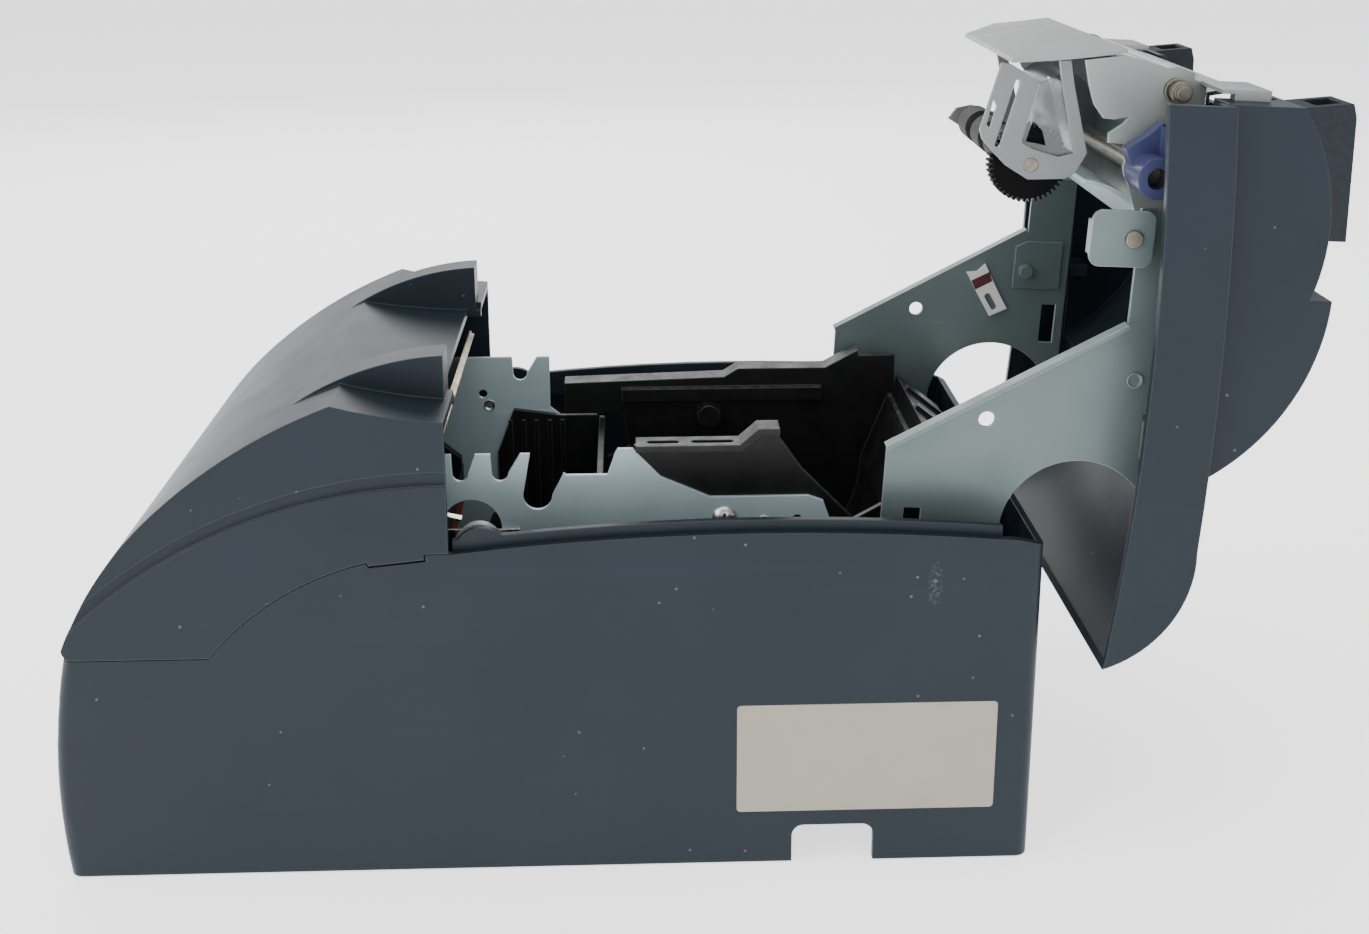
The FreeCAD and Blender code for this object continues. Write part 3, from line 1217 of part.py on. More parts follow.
def arm_clip():
    """Small white strip with two prongs, snapped onto the inside of the far arm."""
    points = from_hinge([(-75.0, 11.2), (-67.8, 15.4), (-59.3, 20.7), (-62.3, 26.7), (-68.8, 22.8)])
    points += from_hinge([(-73.4, 20.3), (-78.2, 17.7), (-75.4, 15.0)])
    plate = prism("yz", points, ARM_X - 1.4, ARM_X)
    ends = from_hinge([(-66.6, 19.4), (-62.6, 22.0)])
    return mirrored(plate.cut(slot("yz", ends[0], ends[1], 2.2, ARM_X - 2, ARM_X + 1)))


def arm_patch():
    """Stiffening patch with a screw on the far arm, where the cover is fixed."""
    y0 = HINGE_Y - 88.0
    low = ARM_STRIP_Z - 4.0
    high = ARM_TOP_Z - 3.0
    points = [(y0 + 1, ARM_STRIP_Z), (y0 + 3, low), (y0 + 18, low), (y0 + 18, high), (y0 + 1, high)]
    patch = prism("yz", points, ARM_X - 1.0, ARM_X)
    head = rod(y0 + 11.6, ARM_STRIP_Z, 2.2, ARM_X - 3.4, ARM_X - 0.9)
    return mirrored(join(patch, [head]))


def latch_pin():
    out = ARM_OUT + 4.0
    pin = rod(ARM_FRONT_Y + 8.0, ARM_STRIP_Z - 2.4, LATCH_PIN_R, out - SHEET - 2.0, out + 0.9)
    return round_edges(pin, 0.4, lambda b: b.XLength < 0.01 and b.XMin > out)


def top_plate():
    """Sheet that joins the arms to the cheeks of the cutter unit."""
    plate = box(-ARM_X, ARM_X, ARM_FRONT_Y - 4, ARM_FRONT_Y + 12, CHEEK_TOP_Z, CHEEK_TOP_Z + SHEET)
    tab = box(ARM_X - SHEET, ARM_X, ARM_FRONT_Y, ARM_FRONT_Y + 12, ARM_TOP_Z - 10, CHEEK_TOP_Z + 0.1)
    return join(plate, both(tab))


# Cutter unit

def cheek_profile():
    """Hooked plate between the hood, the locking shaft and the arms."""
    lobe = [around(LOCK_SHAFT_Y, LOCK_SHAFT_Z, 6.4, deg) for deg in (120, 160, 200)]
    ear = [around(DRIVE_SHAFT_Y, DRIVE_SHAFT_Z, 5.0, deg) for deg in (215, 260, 310)]
    points = from_joint([(-6.6, -13.4), (0.7, -11.6), (5.7, -9.7), (9.5, -6.6), (9.7, -3.4), (8.7, 0.8)])
    points += from_joint([(10.7, -0.6), (13.7, -4.7), (16.4, -4.5), (16.6, 2.0)])
    points += [ear[0], ear[1] + ear[2], (ARM_FRONT_Y + 12, ARM_STRIP_Z + 6), (ARM_FRONT_Y + 12, CHEEK_TOP_Z)]
    points += [(LOCK_SHAFT_Y + 6, CHEEK_TOP_Z), (LOCK_SHAFT_Y + 5, CHEEK_TOP_Z + 2)]
    points += [(LOCK_SHAFT_Y - 1.6, CHEEK_TOP_Z + 2), lobe[0], lobe[1] + lobe[2]]
    return points + from_joint([(-8.4, -2.0)])


def cheek():
    plate = prism("yz", cheek_profile(), CHEEK_X, CHEEK_OUT)
    cuts = [rod(LOCK_SHAFT_Y, LOCK_SHAFT_Z, LOCK_SHAFT_R + 0.02, 0, HALF)]
    cuts.append(rod(DRIVE_SHAFT_Y, DRIVE_SHAFT_Z, DRIVE_SHAFT_R + RUN_FIT, 0, HALF))
    return plate.cut(cuts + [hood_sheet()])


def lock_shaft():
    y = LOCK_SHAFT_Y
    z = LOCK_SHAFT_Z
    shaft = rod(y, z, LOCK_SHAFT_R, -PLATE_X + SLIDE_FIT, PLATE_OUT + 5)
    collar = rod(y, z, LOCK_SHAFT_R + 1.4, CHEEK_OUT, PLATE_X - SLIDE_FIT)
    cap = rod(y, z, LOCK_SHAFT_R + 1.0, PLATE_OUT + 0.6, PLATE_OUT + 3)
    return join(shaft, [collar, cap])


def hood_sheet():
    """Almost flat sheet that backs the paper in front of the print head."""
    points = from_joint([(-5.0, -34.1), (-7.2, -13.8) + HOOD_END_AT])
    return sheet(points, SHEET, -CHEEK_OUT, CHEEK_OUT)


def platen_plate():
    """The hood with its far lower corner cut away."""
    low = EDGE_FRONT_Z - 35.0
    corner = [(-20.0, low), (-CHEEK_OUT - 1, low), (-CHEEK_OUT - 1, low + 15.6)]
    return hood_sheet().cut(prism("xz", corner, JOIN_Y - 20.0, JOIN_Y))


def end_plate():
    """Slotted strip, rail and leg that close the near end of the cutter unit and carry the feed shaft."""
    points = from_joint([(-4.6, -36.6), (5.4, -39.0), (14.5, -41.1), (17.2, -40.1), (20.6, -36.9)])
    points += from_joint([(24.3, -32.9), (28.2, -26.0), (27.6, -15.3), (25.7, -12.4), (20.0, -9.6)])
    points += from_joint([(0.5, -15.4), (-6.2, -17.0), (-5.9, -20.2), (0.8, -18.8), (20.2, -13.4)])
    points += from_joint([(21.4, -17.8), (19.4, -25.4), (17.6, -28.8), (8.7, -27.2), (0.0, -25.5)])
    points += from_joint([(-4.3, -33.7)])
    x0 = CHEEK_X - 2.0
    ends = from_joint([(0.7, -31.5), (18.4, -35.6)])
    window = from_joint([(5.7, -38.0), (7.6, -36.9), (14.0, -38.2), (12.9, -39.3)])
    cuts = [slot("yz", ends[0], ends[1], 1.6, 0, HALF), prism("yz", window, 0, HALF)]
    cuts.append(rod(FEED_Y, FEED_Z, FEED_SHAFT_R + RUN_FIT, 0, HALF))
    return prism("yz", points, x0, x0 + SHEET).cut(cuts + [hood_sheet()])


def far_leg():
    """Plain rail and leg at the far end, which carry the other end of the feed shaft."""
    points = from_joint([(20.6, -30.4), (24.3, -32.9), (28.2, -26.0), (27.6, -15.3), (25.7, -12.4)])
    points += from_joint([(20.0, -9.6), (0.5, -15.4), (-6.2, -17.0), (-5.9, -20.2), (0.8, -18.8)])
    points += from_joint([(20.2, -13.4), (21.4, -17.8), (19.4, -25.4)])
    x0 = CHEEK_X - 2.0
    hole = rod(FEED_Y, FEED_Z, FEED_SHAFT_R + RUN_FIT, 0, HALF)
    return mirrored(prism("yz", points, x0, x0 + SHEET).cut([hole, hood_sheet()]))


def clear_guide():
    """Clear plastic web behind the end plate, with a window and a wing along its upper edge."""
    x1 = CHEEK_X - 2.0
    points = from_joint([(0.9, -24.8), (-0.9, -21.0), (-0.2, -18.9), (20.0, -11.9), (24.0, -15.8)])
    points += from_joint([(19.5, -29.8), (9.5, -27.0)])
    window = from_joint([(11.4, -25.9), (14.2, -22.8), (18.4, -21.4), (17.4, -27.4)])
    web = prism("yz", points, x1 - SHEET, x1).cut(prism("yz", window, 0, HALF))
    return join(web, [sheet(points[2:4], 1.0, x1 - 13.0, x1)])


def feed_shaft():
    return rod(FEED_Y, FEED_Z, FEED_SHAFT_R, -CHEEK_X + 0.6, CHEEK_X - 0.6)


def feed_rollers():
    rollers = []
    for x in (-30.0, -10.0, 10.0):
        rollers.append(rod(FEED_Y, FEED_Z, FEED_ROLLER_R, x - 6.0, x + 6.0))
    return [roller.cut(feed_shaft()) for roller in rollers]


def feed_gear():
    return spur(FEED_Y, FEED_Z, GEAR_TEETH, GEAR_X - GEAR_WIDTH, GEAR_X, FEED_SHAFT_R)


def drive_shaft():
    shaft = rod(DRIVE_SHAFT_Y, DRIVE_SHAFT_Z, DRIVE_SHAFT_R, -PLATE_X + SLIDE_FIT, PLATE_OUT + 6)
    collar = rod(DRIVE_SHAFT_Y, DRIVE_SHAFT_Z, DRIVE_SHAFT_R + 1.0, CHEEK_OUT, PLATE_OUT + 0.4)
    return join(shaft, [collar])


def release_lever():
    """Blue lever: a hollow hub on the drive shaft with a finned arm reaching forward."""
    x0 = PLATE_OUT + 0.8
    x1 = x0 + 13.0
    hub = rod(DRIVE_SHAFT_Y, DRIVE_SHAFT_Z, 5.8, x0, x1)
    y = DRIVE_SHAFT_Y
    z = DRIVE_SHAFT_Z
    arm_points = [(y - 2.0, z + 5.6), (y - 12.0, z + 4.6), (y - 14.6, z + 2.0), (y - 11.0, z - 1.6)]
    arm_points += [(y - 6.6, z - 7.6), (y - 2.0, z - 5.6)]
    arm = prism("yz", arm_points, x0, x0 + 5.0)
    fin = prism("yz", [(y - 3.0, z + 4.6), (y - 13.0, z + 3.6), (y - 13.6, z + 1.8), (y - 3.0, z + 2.2)],
                x0 + 4.9, x1 - 1.0)
    return join(hub, [arm, fin]).cut(rod(y, z, DRIVE_SHAFT_R + RUN_FIT, 0, HALF))


def cutter_base():
    """Flat bed between the cheeks under the moving blade."""
    return box(-CHEEK_X, CHEEK_X, LOCK_SHAFT_Y + 5, ARM_FRONT_Y - 5, CHEEK_TOP_Z - 1.8, CHEEK_TOP_Z - 0.4)


def moving_blade():
    y0 = LOCK_SHAFT_Y + 6.0
    low = CHEEK_TOP_Z - 0.4 + SLIDE_FIT
    points = [(-40.0, y0), (0.0, y0 + 5.0), (40.0, y0), (40.0, y0 + 16), (-40.0, y0 + 16)]
    return prism("xy", points, low, low + SHEET)


def tear_bar():
    z = CHEEK_TOP_Z + 2
    points = [(LOCK_SHAFT_Y + 5.0, z), (LOCK_SHAFT_Y + 0.2, z), (LOCK_SHAFT_Y - 1.4, z + 8.6)]
    return sheet(points, SHEET, -CHEEK_OUT, CHEEK_OUT)


def exit_guide():
    """Three long bars on a backing strip that lead the paper up to the tear bar."""
    places = from_joint([(-5.2, 6.4), (-4.6, 12.0), (-3.4, 17.4)])
    parts = []
    for y, z in places:
        parts.append(rod(y, z, 1.1, -CHEEK_X, CHEEK_X))
    return join(sheet(places, 0.8, -CHEEK_X, CHEEK_X), parts)


def cutter_motor():
    y, z = from_joint([(11.6, -2.2)])[0]
    can = rod(y, z, 7.6, -CHEEK_X, -12.0)
    boss = rod(y, z, 2.4, -12.1, -9.0)
    return join(can, [boss])


def paper_chute():
    """Curved sheet behind the cutter that leads the paper up from the roll."""
    points = from_joint([(43.0, 10.7), (36.0, 7.2), (31.4, 0.2, 28.6, -9.8)])
    return sheet(points, SHEET, -CHEEK_X, CHEEK_X)


def exit_brackets():
    """Light sheet brackets between the cutter unit and the front of the cover."""
    y = SHELL_FRONT_Y
    bracket = box(CHEEK_OUT, ARM_X + 5, y - 3.0, y - 3.0 + SHEET, CHEEK_TOP_Z, PANEL_FRONT_Z + 14)
    ear = box(ARM_X + 1, ARM_X + 5, y - 3.0, y, PANEL_FRONT_Z + 4, PANEL_FRONT_Z + 14)
    return both(join(bracket, [ear]))


save("lower_case", lower_case())
save("rubber_feet", rubber_feet())
save("cover_hinge_pins", hinge_pins())
save("front_cover_pins", front_cover_pins())
save("front_cover", front_cover())
save("side_plate_right", right_plate())
save("side_plate_left", left_plate())
save("frame_screws", frame_screws())
save("chassis_floor", chassis_floor())
save("roll_paper_holder", roll_paper_holder())
save("paper_guide", paper_guide())
save("guide_shaft", guide_shaft())
save("carriage", carriage())
save("print_head", print_head())
save("belt_bracket", belt_bracket())
save("carriage_motor", carriage_motor())
save("motor_pulley", pulley(-PULLEY_SPAN))
save("idler_pulley", pulley(PULLEY_SPAN))
save("timing_belt", timing_belt())
save("ribbon_cassette", ribbon_cassette())
save("ink_ribbon", ink_ribbon())
save("fixed_blade", fixed_blade())
save("drum_wheel", drum_wheel())
save("drum_lever", drum_lever())
save("main_board", main_board())
save("connector_shells", connector_shells())
save("panel_board", panel_board())
save("feed_button", feed_button())
save("status_lenses", status_lenses())
save("power_switch", power_switch())
save("power_rocker", power_rocker())
save("feed_motor", feed_motor())
save("feed_pinion", feed_pinion())
save_cover("roll_cover_shell", roll_cover_shell())
save_cover("cover_grips", cover_grips())
save_cover("cover_arm_right", cover_arm())
save_cover("cover_arm_left", mirrored(cover_arm()))
save_cover("arm_clip", arm_clip())
save_cover("arm_patch", arm_patch())
save_cover("latch_brackets", both(latch_bracket()))
save_cover("latch_pins", both(latch_pin()))
save_cover("top_plate", top_plate())
save_cover("cutter_cheek_right", cheek())
save_cover("cutter_cheek_left", mirrored(cheek()))
save_cover("lock_shaft", lock_shaft())
save_cover("platen_plate", platen_plate())
save_cover("end_plates", [end_plate(), far_leg()])
save_cover("clear_guide", clear_guide())
save_cover("feed_shaft", feed_shaft())
save_cover("feed_rollers", feed_rollers())
save_cover("feed_gear", feed_gear())
save_cover("drive_shaft", drive_shaft())
save_cover("release_lever", release_lever())
save_cover("cutter_base", cutter_base())
save_cover("moving_blade", moving_blade())
save_cover("tear_bar", tear_bar())
save_cover("exit_guide", exit_guide())
save_cover("cutter_motor", cutter_motor())
save_cover("paper_chute", paper_chute())
save_cover("exit_brackets", exit_brackets())
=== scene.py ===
import json
import math

import bmesh
import bpy
from mathutils import Matrix, Vector


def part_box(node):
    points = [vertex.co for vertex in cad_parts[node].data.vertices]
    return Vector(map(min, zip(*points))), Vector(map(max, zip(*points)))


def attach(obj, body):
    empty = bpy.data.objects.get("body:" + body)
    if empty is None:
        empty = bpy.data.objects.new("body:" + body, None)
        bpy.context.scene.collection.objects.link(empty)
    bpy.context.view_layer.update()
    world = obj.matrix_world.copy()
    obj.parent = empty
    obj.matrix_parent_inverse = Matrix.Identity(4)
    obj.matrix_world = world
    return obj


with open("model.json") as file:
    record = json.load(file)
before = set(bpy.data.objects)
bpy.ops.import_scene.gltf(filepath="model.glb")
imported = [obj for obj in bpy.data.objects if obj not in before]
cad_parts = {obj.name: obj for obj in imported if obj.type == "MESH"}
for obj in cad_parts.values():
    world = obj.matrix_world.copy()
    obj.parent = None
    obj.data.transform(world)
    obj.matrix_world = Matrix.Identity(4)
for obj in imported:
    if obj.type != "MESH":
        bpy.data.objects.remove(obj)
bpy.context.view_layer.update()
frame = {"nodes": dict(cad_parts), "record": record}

# Places and sizes are metres in the frame of the solids: X towards the camera, Y to the rear, Z up.

# Camera: sensor and lens in millimetres, angles in degrees.
CAMERA_AT = (0.5174, 0.0263, 0.2883)
CAMERA_SENSOR = 36.0
CAMERA_LENS = 44.3
CAMERA_TILT = 15.82
CAMERA_YAW = -1.915
CAMERA_ROLL = -0.181
CAMERA_SHIFT_Y = -0.10
CAMERA_NEAR = 0.01

# Lights: name, place, width and height, watts.
LIGHT_AIM = (0.0, 0.05, 0.10)
LIGHTS = (
    ("overhead", (0.0, -0.1, 1.3), (1.4, 1.6), 14.0),
    ("front_left", (0.7, -1.2, 0.9), (0.9, 0.9), 9.0),
    ("camera_side", (1.5, 0.3, 0.7), (1.2, 0.8), 6.0),
    ("far_side", (-1.2, -0.2, 0.8), (1.2, 0.8), 10.0),
)

# Floor and room: the room's glow falls from the horizon to a slope, given as the Z of a direction.
FLOOR_SIZE = 30.0
FLOOR_Z = -0.0005
FLOOR_GLOW = 1.5
ROOM_COLOUR = (0.97, 0.98, 1.0, 1.0)
HORIZON_GLOW = 2.0
OVERHEAD_GLOW = 0.48
OVERHEAD_FROM = 0.26

# Trim: outlines are (y, z) points, a rise is how far a piece stands out of the face that carries it.
TRIM_ROOT = 0.0002
CORNER_STEPS = 5
LABEL_FRONT_Y = 0.0558
LABEL_REAR_Y = 0.1316
LABEL_LOW_Z = 0.0168
LABEL_HIGH_Z = 0.0514
LABEL_RISE = 0.00006
LABEL_CORNER = 0.0012
CLIP_BAND = ((0.14751, 0.14178), (0.15387, 0.14487), (0.1551, 0.14151), (0.14915, 0.13849))
BAND_RISE = 0.0001
ARM_SHEET = 0.0012
ARM_STUD_AT = (0.1704, 0.1426)
ARM_STUD_R = 0.0022
PLATE_STUD_AT = (-0.0236, 0.1012)
PLATE_STUD_R = 0.0019
STUD_RISE = 0.0006
STUD_ROUND = 0.95
STUD_DISH = 0.35

# Wear: scales are those of Blender's textures over metres.
BLACK = (0, 0, 0)
WHITE = (1, 1, 1)
SCRATCH_SCALE = 90.0
SCRATCH_STRETCH = (0.6, 0.12, 3.0)
SCRATCH_GAIN = 2.2
DUST_SCALE = 380.0
DUST_SLOPE = 0.25
SPECK_SCALE = 105.0
SCUFF_SCALE = 900.0
SCUFF_AT = (0.080, 0.1120, 0.0885)
SCUFF_REACH = (0.004, 0.0024, 0.0085)
WORN_SHARE = 0.32
WORN_COLOUR = (0.24, 0.26, 0.27)
EDGE_SAMPLES = 6
# Painted highlight: unless a look gives its own, the edge colour is the surface colour this much brighter.
EDGE_HIGHLIGHT_GAIN = 1.8
GRAIN_DEPTH = 0.0002
RIM_Z = 0.101

# Places of the colour sockets on Blender's Mix node.
MIX_LOW = 6
MIX_HIGH = 7
MIX_RESULT = 2


# Shader nodes

def new_material(name):
    made = bpy.data.materials.new(name)
    made.use_nodes = True
    tree = made.node_tree
    return made, tree, tree.nodes["Principled BSDF"]


def add(tree, kind, **values):
    """New node with some of its settings."""
    node = tree.nodes.new(kind)
    for key, value in values.items():
        setattr(node, key, value)
    return node


def noise(tree, scale, detail=4.0, stretch=(1, 1, 1), rough=0.55):
    """Noise over the object's own coordinates, pulled longer along an axis by a small stretch value."""
    place = add(tree, "ShaderNodeTexCoord")
    pull = add(tree, "ShaderNodeMapping")
    pull.inputs["Scale"].default_value = stretch
    grain = add(tree, "ShaderNodeTexNoise")
    grain.inputs["Scale"].default_value = scale
    grain.inputs["Detail"].default_value = detail
    grain.inputs["Roughness"].default_value = rough
    tree.links.new(place.outputs["Object"], pull.inputs["Vector"])
    tree.links.new(pull.outputs["Vector"], grain.inputs["Vector"])
    return grain.outputs["Fac"]


def ramp(tree, value, stops):
    """Colour ramp from a list of (place, colour) stops."""
    node = add(tree, "ShaderNodeValToRGB")
    parts = node.color_ramp.elements
    for part, (place, colour) in zip(parts, stops):
        part.position = place
        part.color = tuple(colour) + (1.0,)
    tree.links.new(value, node.inputs["Fac"])
    return node.outputs["Color"]


def mix(tree, factor, low, high):
    """Colour between two, by a factor socket."""
    node = add(tree, "ShaderNodeMix", data_type="RGBA")
    tree.links.new(factor, node.inputs["Factor"])
    for socket, value in ((node.inputs[MIX_LOW], low), (node.inputs[MIX_HIGH], high)):
        if isinstance(value, tuple):
            socket.default_value = value + (1.0,)
        else:
            tree.links.new(value, socket)
    return node.outputs[MIX_RESULT]


def math_node(tree, kind, first, second):
    """One sum of two values or sockets, kept between nothing and one."""
    node = add(tree, "ShaderNodeMath", operation=kind)
    node.use_clamp = True
    for socket, value in zip(node.inputs, (first, second)):
        if isinstance(value, (int, float)):
            socket.default_value = value
        else:
            tree.links.new(value, socket)
    return node.outputs[0]


def shade(colour, gain):
    return tuple(min(1.0, part * gain) for part in colour)


def grey(value):
    return (value,) * 3


def soft_edges(tree, width):
    """Normal that turns smoothly round sharp edges."""
    soft = add(tree, "ShaderNodeBevel", samples=EDGE_SAMPLES)
    soft.inputs["Radius"].default_value = width
    return soft.outputs["Normal"]


def edge_highlight_mask(tree, soft_normal, gain):
    """One along sharp edges, nothing on flats: where painted highlights go."""
    real = add(tree, "ShaderNodeNewGeometry")
    dot = add(tree, "ShaderNodeVectorMath", operation="DOT_PRODUCT")
    tree.links.new(soft_normal, dot.inputs[0])
    tree.links.new(real.outputs["Normal"], dot.inputs[1])
    turned = math_node(tree, "SUBTRACT", 1.0, dot.outputs["Value"])
    return math_node(tree, "MULTIPLY", turned, gain)


def height(tree):
    place = add(tree, "ShaderNodeTexCoord")
    split = add(tree, "ShaderNodeSeparateXYZ")
    tree.links.new(place.outputs["Object"], split.inputs["Vector"])
    return split.outputs["Z"]


def upward_mask(tree, above):
    """How far a face above a height looks up, for dust that settles on it."""
    real = add(tree, "ShaderNodeNewGeometry")
    split = add(tree, "ShaderNodeSeparateXYZ")
    tree.links.new(real.outputs["Normal"], split.inputs["Vector"])
    span = add(tree, "ShaderNodeMapRange")
    span.inputs["From Min"].default_value = DUST_SLOPE
    tree.links.new(split.outputs["Z"], span.inputs["Value"])
    high = math_node(tree, "GREATER_THAN", height(tree), above)
    return math_node(tree, "MULTIPLY", span.outputs["Result"], high)


def specks(tree):
    """Sparse pale dots, less than a millimetre wide."""
    place = add(tree, "ShaderNodeTexCoord")
    cells = add(tree, "ShaderNodeTexVoronoi")
    cells.inputs["Scale"].default_value = SPECK_SCALE
    tree.links.new(place.outputs["Object"], cells.inputs["Vector"])
    return ramp(tree, cells.outputs["Distance"], [(0.03, WHITE), (0.055, BLACK)])


def scuff(tree):
    """Worn streak round one place on the flank, broken up by fine noise."""
    place = add(tree, "ShaderNodeTexCoord")
    offset = add(tree, "ShaderNodeVectorMath", operation="SUBTRACT")
    offset.inputs[1].default_value = SCUFF_AT
    spread = add(tree, "ShaderNodeVectorMath", operation="DIVIDE")
    spread.inputs[1].default_value = SCUFF_REACH
    away = add(tree, "ShaderNodeVectorMath", operation="LENGTH")
    tree.links.new(place.outputs["Object"], offset.inputs[0])
    tree.links.new(offset.outputs["Vector"], spread.inputs[0])
    tree.links.new(spread.outputs["Vector"], away.inputs[0])
    near = math_node(tree, "SUBTRACT", 1.0, away.outputs["Value"])
    marks = ramp(tree, noise(tree, SCUFF_SCALE), [(0.48, BLACK), (0.62, WHITE)])
    return math_node(tree, "MULTIPLY", near, marks)


# Finishes

def scratched(tree, tint, colour, share):
    """Fine pale lines over a tint."""
    marks = noise(tree, SCRATCH_SCALE, 2.0, SCRATCH_STRETCH, 0.4)
    lines = ramp(tree, marks, [(0.66, BLACK), (0.72, WHITE)])
    return mix(tree, math_node(tree, "MULTIPLY", lines, share), tint, shade(colour, SCRATCH_GAIN))


def dusted(tree, tint, colour, share, above):
    """Grains of dust over a tint, on what looks up above a height."""
    grains = ramp(tree, noise(tree, DUST_SCALE, 6.0), [(0.42, BLACK), (0.72, WHITE)])
    lying = math_node(tree, "MULTIPLY", upward_mask(tree, above), grains)
    return mix(tree, math_node(tree, "MULTIPLY", lying, share), tint, colour)


def worn_flank(tree, tint):
    """Specks and one scuff over a tint."""
    pale = math_node(tree, "MAXIMUM", specks(tree), scuff(tree))
    return mix(tree, math_node(tree, "MULTIPLY", pale, WORN_SHARE), tint, WORN_COLOUR)


def finish(name, colour, rough, metal=0.0, tone=0.10, patch=45.0, edge_highlight_gain=0.0, edge_highlight_colour=None,
           edge_width=0.0004, bump=0.05, bump_scale=1400.0, stretch=(1, 1, 1), dust=0.0,
           dust_colour=(0.55, 0.54, 0.52), dust_above=0.0, scratches=0.0, rough_spread=0.08, specular=0.5,
           worn=False):
    """One surface: two tones in soft patches, scratches, dust, worn places, painted highlights along sharp
    edges (on sheet metal also its bright cut edges) and fine grain.
    """
    made, tree, shader = new_material(name)
    patches = noise(tree, patch, 5.0)
    tint = ramp(tree, patches, [(0.3, shade(colour, 1 - tone)), (0.7, shade(colour, 1 + tone))])
    if scratches:
        tint = scratched(tree, tint, colour, scratches)
    if dust:
        tint = dusted(tree, tint, dust_colour, dust, dust_above)
    if worn:
        tint = worn_flank(tree, tint)
    soft_normal = soft_edges(tree, edge_width)
    # Painted highlight along sharp edges; on sheet metal it also stands for bright cut edges.
    if edge_highlight_gain:
        edges = edge_highlight_mask(tree, soft_normal, edge_highlight_gain)
        tint = mix(tree, edges, tint, edge_highlight_colour or shade(colour, EDGE_HIGHLIGHT_GAIN))
    tree.links.new(tint, shader.inputs["Base Color"])
    smooth = max(0.02, rough - rough_spread)
    coarse = min(1.0, rough + rough_spread)
    gloss = ramp(tree, noise(tree, patch * 2.3), [(0.3, grey(smooth)), (0.7, grey(coarse))])
    tree.links.new(gloss, shader.inputs["Roughness"])
    shader.inputs["Metallic"].default_value = metal
    shader.inputs["Specular IOR Level"].default_value = specular
    grain = add(tree, "ShaderNodeBump")
    grain.inputs["Strength"].default_value = bump
    grain.inputs["Distance"].default_value = GRAIN_DEPTH
    tree.links.new(noise(tree, bump_scale, 3.0, stretch), grain.inputs["Height"])
    tree.links.new(soft_normal, grain.inputs["Normal"])
    tree.links.new(grain.outputs["Normal"], shader.inputs["Normal"])
    return made


def clear_finish(name):
    """Smoky clear plastic with a patchy frost."""
    made, tree, shader = new_material(name)
    shader.inputs["Transmission Weight"].default_value = 0.9
    shader.inputs["IOR"].default_value = 1.49
    haze = ramp(tree, noise(tree, 120.0), [(0.3, (0.42, 0.45, 0.46)), (0.7, (0.60, 0.63, 0.64))])
    tree.links.new(haze, shader.inputs["Base Color"])
    frost = ramp(tree, noise(tree, 300.0), [(0.35, grey(0.06)), (0.7, grey(0.24))])
    tree.links.new(frost, shader.inputs["Roughness"])
    return made


def ribbon_finish(name):
    """Inked ribbon with a black upper half and a red lower half."""
    made, tree, shader = new_material(name)
    low, high = (corner[2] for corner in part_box("ink_ribbon"))
    upper = math_node(tree, "GREATER_THAN", height(tree), (low + high) / 2)
    red = ramp(tree, noise(tree, 500.0), [(0.3, (0.16, 0.012, 0.006)), (0.7, (0.30, 0.028, 0.012))])
    tree.links.new(mix(tree, upper, red, (0.012, 0.010, 0.012)), shader.inputs["Base Color"])
    shader.inputs["Roughness"].default_value = 0.85
    return made
